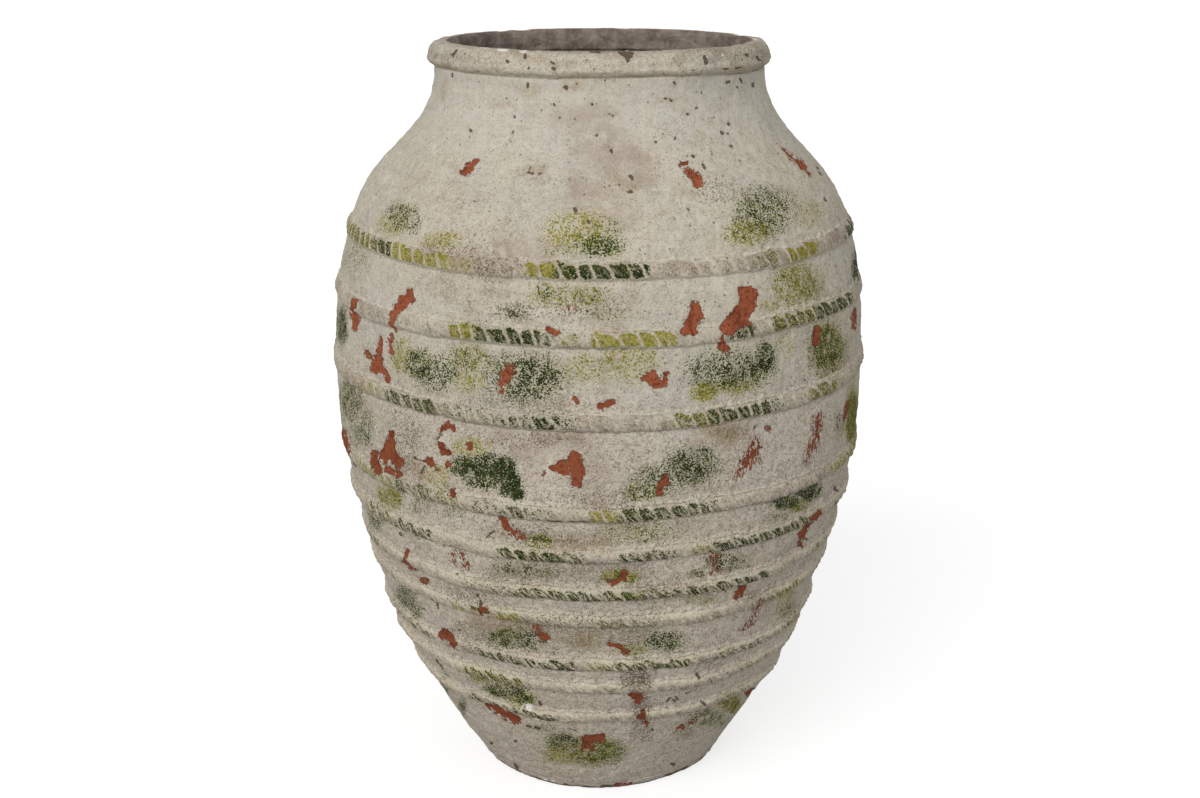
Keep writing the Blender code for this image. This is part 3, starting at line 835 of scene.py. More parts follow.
def make_course(index, material, settings):
    """One lift of the wall, its outer face worn and its inner face left as the fingers drew it up."""
    name = COURSES[index]
    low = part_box(name)[0].z
    if index + 1 < len(COURSES):
        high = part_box(COURSES[index + 1])[0].z - SLIP
        inner_high = high + SEAM_RISE
    else:
        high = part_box(RIM)[0].z - SLIP
        inner_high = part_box(name)[1].z
    inner_low = low + SEAM_RISE if index else low
    outer_rows = wall_rows(low, high, WALL_ROW, OUTER)
    inner_rows = wall_rows(inner_low, inner_high, INSIDE_ROW, INNER)[::-1]
    section = [(float(outer_radius(z)), z) for z in outer_rows]
    section += [(float(inner_radius(z)), z) for z in inner_rows]
    mesh = turned_mesh(name, section, WALL_STEPS)
    points = read_points(mesh)
    radius = np.hypot(points[:, 0], points[:, 1])
    slope = outer_slope(points[:, 2])
    behind = (outer_radius(points[:, 2]) - radius) / np.hypot(1.0, slope)
    outside = behind < MILLIMETRE
    marks = surface_marks(points)
    groove, dirt_and_shade = near_bands(points, settings)
    relief = wall_relief(points, settings)
    relief -= settings.groove_depth * groove
    relief -= settings.chip_depth * chip_hollow(marks)
    if index + 1 == len(COURSES):
        angle = np.degrees(np.arctan2(points[:, 1], points[:, 0]))
        smeared = outside * smooth_step(high - SMEAR_REACH, high, points[:, 2])
        relief += SMEAR_PROUD * smeared
        points[:, 2] += MILLIMETRE * smeared * np.interp(angle, SMEAR_ANGLES, SMEAR_MM, period=360.0)
    rings = settings.throwing_ridge * waves(points, 0.020, 41, stretch=(9.0, 9.0, 1.0))
    rings += settings.throwing_ridge * waves(points, 0.09, 42)
    moved = push_out(points, np.where(outside, relief, rings), slope)
    write_points(mesh, moved)
    # Dust and painted shade along the bands, on the outer face only
    marks["dirt_and_shade"] = np.where(outside, dirt_and_shade, 0.0)
    marks["inside"] = np.where(outside, 0.0, 1.0)
    marks["crust"] = crustiness(points)
    marks["fresh"] = smooth_step(0.770, 0.835, points[:, 2]) * outside
    write_marks(mesh, marks)
    return place_piece(name, mesh, material)


def make_band(index, material, settings):
    """One rope band: twist marks pressed into a roll of clay that is undercut below and smeared up above."""
    name = BANDS[index]
    low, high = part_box(name)
    level = (low.z + high.z) / 2
    girth = FULL_TURN * float(outer_radius(level))
    steps = round(girth / ROPE_STEP / SECTORS) * SECTORS
    # Until it is laid on the wall, the band's front and back are told apart by two stand-in radii
    front_radius = 2.0
    back_radius = 1.0
    front = [(front_radius, up) for up, _ in ROPE_SECTION]
    back = [(back_radius, up) for up, _ in ROPE_SECTION[::-4]]
    mesh = turned_mesh(name, front + back, steps)
    spun = read_points(mesh)
    angle = np.arctan2(spun[:, 1], spun[:, 0])
    up = spun[:, 2]
    on_front = np.hypot(spun[:, 0], spun[:, 1]) > (front_radius + back_radius) / 2

    # The rope lies along the wall, whatever the wall's own lumps, and its edges waver
    middle = band_middle(index, angle)
    slope = outer_slope(middle)
    rough_base = on_wall(outer_radius(middle), angle, middle)
    lower_waver = 0.014 * waves(rough_base, 0.045, 50 + index)
    lower_waver += 0.014 * waves(rough_base, 0.011, 60 + index)
    upper_waver = 0.035 * waves(rough_base, 0.040, 70 + index)
    upper_waver += 0.030 * waves(rough_base, 0.011, 80 + index)
    laid = up + np.where(up < 0, lower_waver, upper_waver) * np.abs(up) * 2
    height = middle + laid * settings.rope_width / np.hypot(1.0, slope)
    base = on_wall(outer_radius(height), angle, height)
    marks = surface_marks(base)
    rolled = np.interp(up, *zip(*ROPE_SECTION))
    smear = between(up, 0.20, 0.34, 0.56, 0.68)
    rolled += smear * (0.08 * waves(base, 0.012, 90 + index) + 0.06 * waves(base, 0.005, 100 + index))
    fuller = BAND_FULLNESS[index] * (1.0 + 0.08 * waves(base, 0.05, 110 + index))
    proud = settings.rope_proud * np.where(rolled > 0, rolled * fuller, rolled)
    proud = np.where(on_front, proud, settings.rope_proud * ROPE_BACK_SHARE)

    # Twist marks lean across the rope, more strongly where the paint was rubbed into them
    count = round(girth / settings.twist_pitch)
    uneven = 0.24 * np.sin(7 * angle + index) + 0.18 * np.sin(13 * angle + 3 * index)
    uneven += 0.13 * np.sin(31 * angle)
    phase = count * angle / FULL_TURN + uneven + TWIST_LEANS[index] * up + 0.40 * (up + 0.15) ** 2
    off_ridge = np.abs(phase - np.round(phase)) * settings.twist_pitch
    top = TWIST_TOPS[index] + 0.05 * waves(rough_base, 0.016, 120 + index)
    height_in_cell = np.clip((up + 0.47) / (top + 0.47), -0.2, 1.2)
    corner = np.abs(2 * height_in_cell - 1) ** 5
    off_edge = off_ridge - settings.twist_width * 1.3 * corner
    ridge = np.exp(-((np.maximum(off_edge, 0.0) / settings.twist_width) ** 2))
    zone = between(up, -0.52, -0.44, 0.24, 0.33)
    painted_zone = smooth_step(-0.02, 0.05, height_in_cell) * smooth_step(1.04, 0.96, height_in_cell)
    green, yellow = band_paint(index, base, angle)
    painted = np.clip(green + yellow, 0.0, 1.0)
    strength = np.clip(0.50 + 0.22 * waves(rough_base, 0.05, 130 + index) + 0.60 * painted, 0.18, 1.05)
    proud += on_front * zone * settings.twist_height * strength * (ridge - 0.35)
    proud -= on_front * settings.chip_depth * 0.8 * chip_hollow(marks)
    proud += on_front * zone * 0.05 * settings.twist_height * waves(base, 0.0042, 140 + index, count=12)

    moved = push_out(base, wall_relief(base, settings) + proud, outer_slope(height))
    write_points(mesh, moved)
    cell = painted_zone * smooth_step(0.55, 1.25, off_edge / settings.twist_width)
    bare_hollow = min(RUBBED_SHARES[index], 1.0) * cell * (1.0 - 0.6 * painted)
    marks["grime"] = np.maximum(marks["grime"], bare_hollow)
    spill = 0.55 * (1.0 - painted_zone)
    for paint, strength in (("green", green), ("yellow", yellow)):
        marks[paint] = np.clip(np.maximum(strength * (0.10 + 0.90 * cell), marks[paint] * spill), 0.0, 1.15)
    broken = smooth_step(-0.9, 0.4, waves(rough_base, 0.022, 170 + index))
    creased = index < CREASED_BANDS
    # Painted shade in the crease above the rope, broken along its length
    painted_crease_shade = broken * (0.95 if creased else 0.50) * hump(up, CREASE_UP, 0.035)
    # Painted highlight along the lip of smeared clay above the crease
    painted_lip_highlight = broken * (0.90 if creased else 0.30) * hump(up, LIP_UP, 0.032)
    # Painted shade along the band's undercut lower edge
    painted_undercut_shade = 0.35 * (1.0 - smooth_step(-0.60, -0.46, up))
    marks["dirt_and_shade"] = np.where(on_front, painted_crease_shade + painted_undercut_shade, 0.0)
    marks["inside"] = np.where(on_front, 0.0, 1.0)
    marks["crust"] = crustiness(base)
    patchy = np.clip(1.0 + 0.35 * waves(rough_base, 0.09, 150 + index), 0.2, 1.4)
    crest_low = -0.42 if creased else -0.16
    on_crest = between(up, crest_low, crest_low + 0.30, 0.26, 0.34)
    # Cream wash with a painted highlight on the band's lit crest, and the painted highlight on its lip
    marks["cream_and_highlight"] = np.clip(np.maximum(CREST_CREAM_AND_HIGHLIGHT[index] * patchy * on_crest, painted_lip_highlight), 0.0, 1.0)
    worn = smooth_step(-0.9, 0.6, waves(rough_base, 0.07, 160 + index))
    rubbed_film_and_shade = RUBBED_SHARES[index] * on_crest * worn
    # Painted shade on the band's lower face, which faces down, laid in the rubbed film's colour
    painted_shade_face = between(up, -0.60, -0.45, -0.20, 0.06)
    marks["rubbed_film_and_shade"] = np.maximum.reduce([marks["rubbed_film_and_shade"], rubbed_film_and_shade, 0.60 * COMB_AND_SHADE_SHARES[index] * painted_shade_face])
    marks["comb"] = COMB_AND_SHADE_SHARES[index] * between(up, -0.60, -0.50, -0.05, 0.22)
    marks["across"] = up * settings.rope_width
    write_marks(mesh, marks)
    write_round(mesh, angle, girth)
    return place_piece(name, mesh, material)


def band_paint(index, points, angle):
    """(green, yellow) strengths of the paint rubbed into one band's twist marks."""
    x, _ = photo_place(points)
    shown = facing(points) > -0.1
    green = np.zeros(len(points))
    yellow = np.zeros(len(points))
    for first, last, green_strength, yellow_strength in BAND_PAINT[index]:
        inside = between(x, first - 4, first + 3, last - 3, last + 4) * shown
        green = np.maximum(green, inside * green_strength)
        yellow = np.maximum(yellow, inside * yellow_strength)
    draw = np.random.default_rng(200 + index)
    start = draw.uniform(5.0, 15.0)
    while start < 170.0:
        end = start + draw.uniform(6.0, 24.0)
        inside = between(np.degrees(angle), start - 1, start + 1, end - 1, end + 1) * ~shown
        green = np.maximum(green, inside * draw.choice([0.15, 0.6, 0.9]))
        yellow = np.maximum(yellow, inside * draw.choice([0.0, 0.1, 0.8]))
        start = end + draw.uniform(2.0, 22.0)
    return green, yellow


def make_rim(material, settings):
    """The thick rolled lip, wiped round with wet fingers and nicked along its crest."""
    low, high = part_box(RIM)
    tree = cad_tree((RIM,))
    mouth = float(INNER[-1])
    centre_radius = (mouth + high.x) / 2
    centre_height = (low.z + high.z) / 2
    aside = MILLIMETRE / 10
    radii = []
    heights = []
    for turn in np.linspace(0.0, FULL_TURN, RIM_ROWS, endpoint=False):
        direction = (math.cos(turn), 0.0, math.sin(turn))
        hit = tree.ray_cast((centre_radius, aside, centre_height), direction)[0]
        radii.append(hit.x)
        heights.append(hit.z)
    section = list(zip(around(np.array(radii)), around(np.array(heights))))
    mesh = turned_mesh(RIM, section, RIM_STEPS)
    points = read_points(mesh)
    radius = np.hypot(points[:, 0], points[:, 1])
    out_share = (radius - centre_radius) / (high.x - centre_radius)
    up_share = (points[:, 2] - centre_height) / (high.z - centre_height)
    out = np.stack([points[:, 0] / radius * out_share, points[:, 1] / radius * out_share, up_share], axis=1)
    out /= np.linalg.norm(out, axis=1)[:, None]
    marks = surface_marks(points)
    rows = (
        (0.55, 0.0900, 141, 1.0),
        (0.40, 0.0300, 142, 1.0),
        (0.22, 0.0120, 143, 4.0),
        (0.14, 0.0055, 148, 1.0),
        (0.16, 0.0080, 149, 9.0),
    )
    relief = settings.lump_height * wave_sum(points, rows)
    plates = smooth_step(-0.25, 0.25, wave_sum(points, ((1.0, 0.013, 146, 2.0),)))
    relief += settings.lump_height * 0.45 * plates * (0.6 + 0.4 * waves(points, 0.05, 147))
    nicks = np.clip(waves(points, 0.016, 144) - 1.3, 0.0, 1.0)
    nicks += np.clip(waves(points, 0.007, 145) - 1.6, 0.0, 1.0)
    holes = smooth_step(-0.5, 1.5, marks["speck"])
    relief -= settings.chip_depth * (0.8 * nicks + chip_hollow(marks) + 1.4 * holes)
    fuller = 2.6 * MILLIMETRE * smooth_step(0.15, 0.75, out_share) * smooth_step(0.10, -0.35, up_share)
    fuller *= 1.0 - 0.9 * smooth_step(-0.55, -0.85, up_share)
    moved = points + out * relief[:, None]
    moved[:, :2] *= (1.0 + fuller / radius)[:, None]
    moved[:, 2] = np.minimum(moved[:, 2], CAD_BOX[1].z - BOX_MARGIN)
    write_points(mesh, moved)
    marks["inside"] = smooth_step(-0.10, -0.85, out_share)
    # The top of the rim is darker, less so towards its outer edge
    crest_darkening = 0.60 * smooth_step(0.40, 0.92, up_share) * (1.0 - 0.5 * smooth_step(0.2, 0.6, out_share))
    brushed = 0.34 * smooth_step(0.1, 1.3, waves(points, 0.0055, 154, stretch=(9.0, 9.0, 1.0)))
    # Painted shade under the roll of the rim
    painted_underside_shade = 0.16 * smooth_step(-0.60, -0.95, up_share)
    marks["dirt_and_shade"] = painted_underside_shade + crest_darkening + 0.2 * np.clip(nicks, 0.0, 1.0) + brushed
    marks["crust"] = np.full(len(points), 0.36)
    write_marks(mesh, marks)
    return place_piece(RIM, mesh, material)


def around(values):
    """A closed ring of values with its facets smoothed out."""
    spread = 1.3
    return soften(np.concatenate([values, values, values]), spread)[len(values) : 2 * len(values)]


def make_slab(material, settings):
    """The floor of the jar, its top finger-smoothed and its foot edge worn."""
    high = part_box(SLAB)[1]
    core = float(INNER[0]) - SLIP
    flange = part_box(COURSES[0])[0].z - SLIP
    edge = outer_radius(flange)
    foot = float(outer_radius(3 * MILLIMETRE))
    rounding = 3 * MILLIMETRE
    section = [(0.0, high.z), (core, high.z), (core, flange), (float(edge), flange)]
    section += [(foot, rounding), (foot - rounding * 0.3, rounding * 0.3), (foot - rounding, 0.0), (0.0, 0.0)]
    fine = [section[0]]
    for start, end in zip(section, section[1:]):
        run = math.hypot(end[0] - start[0], end[1] - start[1])
        count = max(1, round(run / (2.5 * MILLIMETRE)))
        fine += [
            (start[0] + (end[0] - start[0]) * i / count, start[1] + (end[1] - start[1]) * i / count)
            for i in range(1, count + 1)
        ]
    mesh = turned_mesh(SLAB, fine, SLAB_STEPS, closed=False)
    points = read_points(mesh)
    radius = np.hypot(points[:, 0], points[:, 1])
    rim_share = smooth_step(core + MILLIMETRE, foot - MILLIMETRE, radius)
    rim_share *= points[:, 2] < flange + MILLIMETRE
    top_share = (points[:, 2] > high.z - MILLIMETRE) * 1.0
    worn = 0.7 * MILLIMETRE * np.clip(waves(points, 0.02, 151) - 0.4, 0.0, 2.0)
    grown = radius + rim_share * (wall_relief(points, settings) - worn)
    scale = np.where(radius > MILLIMETRE, grown / np.maximum(radius, MILLIMETRE), 1.0)
    inner = smooth_step(core, core - 5 * MILLIMETRE, radius)
    finger_width = 0.021
    rings = 0.5 * np.sin(radius * FULL_TURN / finger_width) + 0.4 * waves(points, 0.05, 152)
    height = points[:, 2] + top_share * MILLIMETRE * inner * (rings - 0.6)
    moved = [points[:, 0] * scale, points[:, 1] * scale, np.maximum(height, 0.0)]
    write_points(mesh, np.stack(moved, axis=1))
    marks = surface_marks(points)
    # The foot is darker towards the ground, over its lowest 7 mm
    marks["dirt_and_shade"] = smooth_step(7 * MILLIMETRE, 0.0, points[:, 2])
    crumbled = 1.5 - points[:, 2] / (2.0 * MILLIMETRE) + 0.9 * waves(points, 0.018, 153)
    marks["speck"] = np.maximum(marks["speck"], np.clip(crumbled, -8.0, 2.0))
    off_ground = smooth_step(MILLIMETRE, 4 * MILLIMETRE, points[:, 2])
    marks["inside"] = 1.0 - (radius > core + MILLIMETRE) * off_ground
    marks["crust"] = np.ones(len(points))
    write_marks(mesh, marks)
    return place_piece(SLAB, mesh, material)


def make_seal(material, settings):
    """The coil pressed into the corner of the floor, dimpled by fingertips."""
    low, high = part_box(SEAL)
    size = high.z - low.z
    outer = high.x
    pressed = 0.86 * size
    section = []
    for turn in np.linspace(0.0, math.pi / 2, 9):
        radius = outer - size + pressed * math.sin(turn)
        section.append((radius, low.z + size - pressed * math.cos(turn)))
    section = [(outer - size, low.z), *section, (outer, low.z + size), (outer, low.z)]
    mesh = turned_mesh(SEAL, section[::-1], SEAL_STEPS)
    points = read_points(mesh)
    angle = np.arctan2(points[:, 1], points[:, 0])
    radius = np.hypot(points[:, 0], points[:, 1])
    thumbs = round(FULL_TURN * outer / settings.twist_pitch)
    free = smooth_step(outer - MILLIMETRE, outer - size / 2, radius)
    free *= smooth_step(low.z, low.z + size / 2, points[:, 2])
    press = 0.9 * MILLIMETRE * (0.5 + 0.5 * np.sin(thumbs * angle)) * free
    write_points(mesh, on_wall(radius, angle, points[:, 2] - press))
    marks = surface_marks(points)
    marks["dirt_and_shade"] = np.zeros(len(points))
    marks["inside"] = np.ones(len(points))
    write_marks(mesh, marks)
    return place_piece(SEAL, mesh, material)


def add_node(tree, kind, inputs=None, **properties):
    """Adds a node, sets its properties, and sets or links its inputs."""
    made = tree.nodes.new(kind)
    for name, value in properties.items():
        setattr(made, name, value)
    for socket, value in (inputs or {}).items():
        if isinstance(value, bpy.types.NodeSocket):
            tree.links.new(value, made.inputs[socket])
        else:
            made.inputs[socket].default_value = value
    return made


def calculate(tree, operation, *values):
    return add_node(tree, "ShaderNodeMath", dict(enumerate(values)), operation=operation).outputs[0]


def times(tree, first, second):
    return calculate(tree, "MULTIPLY", first, second)


def times_plus(tree, value, scale, base):
    return calculate(tree, "MULTIPLY_ADD", value, scale, base)


def plus(tree, first, second):
    return calculate(tree, "ADD", first, second)


def minus(tree, first, second):
    return calculate(tree, "SUBTRACT", first, second)


def centred(tree, pattern):
    """A noise pattern moved down to lie round 0."""
    return minus(tree, pattern, 0.5)


def larger(tree, first, second):
    return calculate(tree, "MAXIMUM", first, second)


def capped(tree, strength):
    return calculate(tree, "MINIMUM", strength, 1.0)


def remap(tree, value, low, high, first=0.0, last=1.0, smooth=True):
    """A value carried from one range to another, and kept within it."""
    kind = "SMOOTHSTEP" if smooth else "LINEAR"
    inputs = {"Value": value, "From Min": low, "From Max": high, "To Min": first, "To Max": last}
    return add_node(tree, "ShaderNodeMapRange", inputs, interpolation_type=kind).outputs["Result"]


def blend(tree, share, first, second):
    """A colour that changes from the first to the second as the share grows."""
    return add_node(tree, "ShaderNodeMix", {0: share, 6: first, 7: second}, data_type="RGBA").outputs[2]


def noise(tree, vector, scale, detail=3.0, roughness=0.55):
    inputs = {"Vector": vector, "Scale": scale, "Detail": detail, "Roughness": roughness}
    return add_node(tree, "ShaderNodeTexNoise", inputs).outputs["Fac"]


def stretched(tree, vector, scale):
    """The object's coordinates, stretched so that a pattern on them runs long in one direction."""
    return add_node(tree, "ShaderNodeMapping", {"Vector": vector, "Scale": scale}).outputs["Vector"]


def mark(tree, name):
    return add_node(tree, "ShaderNodeAttribute", attribute_name=name).outputs["Fac"]


def random_cells(tree, vector, scale):
    """Scattered cells: (how far from a cell's middle, a random value for each cell, another)."""
    cells = add_node(tree, "ShaderNodeTexVoronoi", {"Vector": vector, "Scale": scale})
    split = add_node(tree, "ShaderNodeSeparateColor", {"Color": cells.outputs["Color"]})
    return cells.outputs["Distance"], split.outputs["Red"], split.outputs["Green"]


# The kinds of socket that the node groups have
NUMBER = "NodeSocketFloat"
VECTOR = "NodeSocketVector"
COLOUR = "NodeSocketColor"


def shader_group(name, inputs, outputs):
    """An empty node group with named sockets, as (tree, its input node, its output node)."""
    tree = bpy.data.node_groups.new(name, "ShaderNodeTree")
    for label, kind, default in inputs:
        socket = tree.interface.new_socket(label, in_out="INPUT", socket_type=kind)
        if default is not None:
            socket.default_value = default
    for label, kind in outputs:
        tree.interface.new_socket(label, in_out="OUTPUT", socket_type=kind)
    return tree, tree.nodes.new("NodeGroupInput"), tree.nodes.new("NodeGroupOutput")


def use_group(tree, group, **inputs):
    """Places a group in a material, with its inputs given by name and spaces written as underlines."""
    made = tree.nodes.new("ShaderNodeGroup")
    made.node_tree = group
    for name, value in inputs.items():
        socket = made.inputs[name.replace("_", " ")]
        if isinstance(value, bpy.types.NodeSocket):
            tree.links.new(value, socket)
        else:
            socket.default_value = value
    return made.outputs


def sponge_group():
    """Where a sponge left paint: loose specks at low strength, and solid but for grains at full strength."""
    tree, given, result = shader_group(
        "Sponged paint",
        [
            ("Vector", VECTOR, None),
            ("Strength", NUMBER, 0.0),
            ("Grain", NUMBER, 420.0),
            ("Sparse", NUMBER, 0.66),
        ],
        [("Mask", NUMBER)],
    )
    vector = given.outputs["Vector"]
    fine = noise(tree, vector, given.outputs["Grain"], detail=1.5, roughness=0.6)
    coarse = noise(tree, vector, times(tree, given.outputs["Grain"], 0.30), detail=1.0)
    grain = plus(tree, times(tree, fine, 0.88), times(tree, coarse, 0.12))
    dense = 0.37
    edge = remap(tree, given.outputs["Strength"], 0.0, 1.0, given.outputs["Sparse"], dense, smooth=False)
    softness = 0.014
    mask = remap(tree, minus(tree, grain, edge), -softness, softness)
    there = remap(tree, given.outputs["Strength"], 0.02, 0.12)
    tree.links.new(times(tree, mask, there), result.inputs["Mask"])
    return tree


def flake_group():
    """Where the wash has flaked off inside a field given in millimetres, with a ragged, angular edge and
    painted shade along it.
    """
    tree, given, result = shader_group(
        "Flaked wash",
        [("Vector", VECTOR, None), ("Field", NUMBER, -8.0), ("Ragged", NUMBER, 2.0)],
        [("Mask", NUMBER), ("Edge Shade", NUMBER)],
    )
    vector = given.outputs["Vector"]
    wander = noise(tree, vector, 95.0, detail=2.0)
    jag = noise(tree, vector, 300.0, detail=3.0, roughness=0.7)
    cell = random_cells(tree, vector, 260.0)[1]
    angular = times(tree, centred(tree, cell), 0.85)
    edge = times_plus(tree, centred(tree, wander), 4.2, angular)
    edge = times_plus(tree, centred(tree, jag), 3.6, edge)
    depth = times_plus(tree, edge, given.outputs["Ragged"], given.outputs["Field"])
    tree.links.new(remap(tree, depth, -0.30, 0.30), result.inputs["Mask"])
    tree.links.new(remap(tree, calculate(tree, "ABSOLUTE", depth), 0.7, 0.0), result.inputs["Edge Shade"])
    return tree


def pit_group():
    """Small round pits, of which only a share are open."""
    tree, given, result = shader_group(
        "Pits",
        [
            ("Vector", VECTOR, None),
            ("Scale", NUMBER, 90.0),
            ("Share", NUMBER, 0.1),
            ("Size", NUMBER, 0.2),
        ],
        [("Mask", NUMBER)],
    )
    wander = noise(tree, given.outputs["Vector"], 330.0, detail=2.0)
    distance, chance, size = random_cells(tree, given.outputs["Vector"], given.outputs["Scale"])
    open_here = calculate(tree, "LESS_THAN", chance, given.outputs["Share"])
    reach = times(tree, given.outputs["Size"], plus(tree, size, 0.35))
    distance = times_plus(tree, centred(tree, wander), 0.35, distance)
    shape = remap(tree, minus(tree, reach, distance), -0.02, 0.03)
    tree.links.new(times(tree, shape, open_here), result.inputs["Mask"])
    return tree


def comb_group():
    """Thin raised hairs that a comb or a coarse thumb drew slantwise over a rope band's lower edge."""
    tree, given, result = shader_group(
        "Combed hairs",
        [("Round", NUMBER, 0.0), ("Across", NUMBER, 0.0), ("Share", NUMBER, 0.0)],
        [("Mask", NUMBER), ("Gap", NUMBER)],
    )
    lean = times_plus(tree, given.outputs["Across"], 0.85, given.outputs["Round"])
    along = times(tree, given.outputs["Across"], 0.22)
    place = add_node(tree, "ShaderNodeCombineXYZ", {"X": lean, "Y": along}).outputs["Vector"]
    streaks = noise(tree, place, 150.0, detail=2.0, roughness=0.5)
    off = calculate(tree, "ABSOLUTE", centred(tree, streaks))
    hairs = remap(tree, off, 0.042, 0.012)
    tree.links.new(times(tree, hairs, given.outputs["Share"]), result.inputs["Mask"])
    gaps = remap(tree, off, 0.050, 0.110)
    tree.links.new(times(tree, gaps, given.outputs["Share"]), result.inputs["Gap"])
    return tree


def wash_group():
    """Brushed limewash: its colour, tinted by the clay where it is thin, with painted shade and highlight on
    its grit, and its relief in metres.
    """
    tree, given, result = shader_group(
        "Brushed limewash",
        [
            ("Vector", VECTOR, None),
            *((tint, COLOUR, None) for tint in ("Pale", "Middle", "Dull", "Cool", "Clay Tint", "Rosy")),
            ("Crust", NUMBER, 0.5),
        ],
        [("Color", COLOUR), ("Height", NUMBER), ("Grit", NUMBER)],
    )
    vector = given.outputs["Vector"]
    crust = given.outputs["Crust"]
    broad = noise(tree, vector, 4.5, detail=2.0, roughness=0.6)
    cloud = noise(tree, vector, 30.0, detail=5.0, roughness=0.66)
    wrinkle = noise(tree, vector, 170.0, detail=3.0, roughness=0.62)
    grit = noise(tree, vector, 540.0, detail=1.5, roughness=0.65)
    runs = noise(tree, stretched(tree, vector, (1.0, 1.0, 0.10)), 70.0, detail=3.0, roughness=0.6)
    wiped = noise(tree, stretched(tree, vector, (0.14, 0.14, 1.0)), 120.0, detail=3.0, roughness=0.62)

    # Broad colour: pale, plain, dull and cool patches, with runs down the wall and wipes round it
    tone = times_plus(tree, broad, 0.50, times(tree, cloud, 0.60))
    tone = times_plus(tree, runs, 0.45, tone)
    tone = times_plus(tree, wiped, 0.50, tone)
    colour = blend(tree, remap(tree, tone, 0.76, 1.04), given.outputs["Dull"], given.outputs["Middle"])
    colour = blend(tree, remap(tree, tone, 1.02, 1.34), colour, given.outputs["Pale"])
    cool_here = noise(tree, stretched(tree, vector, (1.0, 1.0, 0.5)), 11.0, detail=3.0)
    colour = blend(tree, remap(tree, cool_here, 0.46, 0.66, 0.0, 0.50), colour, given.outputs["Cool"])

    rosy = remap(tree, crust, 0.30, 1.00, 0.0, 0.50)
    colour = blend(tree, rosy, colour, given.outputs["Rosy"])

    # Grit: hollows take the clay's tint, partly as painted shade, and grains are paler, partly as a painted
    # highlight, more strongly where the wash is crusted
    rough = times_plus(tree, wrinkle, 0.40, times(tree, grit, 0.60))
    tinted_shaded_hollow = times(tree, remap(tree, rough, 0.475, 0.40), remap(tree, crust, 0.0, 1.0, 0.42, 0.62))
    grain = times(tree, remap(tree, rough, 0.525, 0.59), remap(tree, crust, 0.0, 1.0, 0.50, 0.80))
    colour = blend(tree, tinted_shaded_hollow, colour, given.outputs["Clay Tint"])
    colour = blend(tree, grain, colour, given.outputs["Pale"])
    tree.links.new(colour, result.inputs["Color"])

    height = times(tree, grit, remap(tree, crust, 0.0, 1.0, 0.00036, 0.00076, smooth=False))
    more = times(tree, wrinkle, remap(tree, crust, 0.0, 1.0, 0.00060, 0.00130, smooth=False))
    height = plus(tree, height, more)
    height = times_plus(tree, wiped, 0.00050, height)
    height = times_plus(tree, cloud, 0.00110, height)
    tree.links.new(height, result.inputs["Height"])
    tree.links.new(grit, result.inputs["Grit"])
    return tree


def colour_input(value):
    return (*value, 1.0)


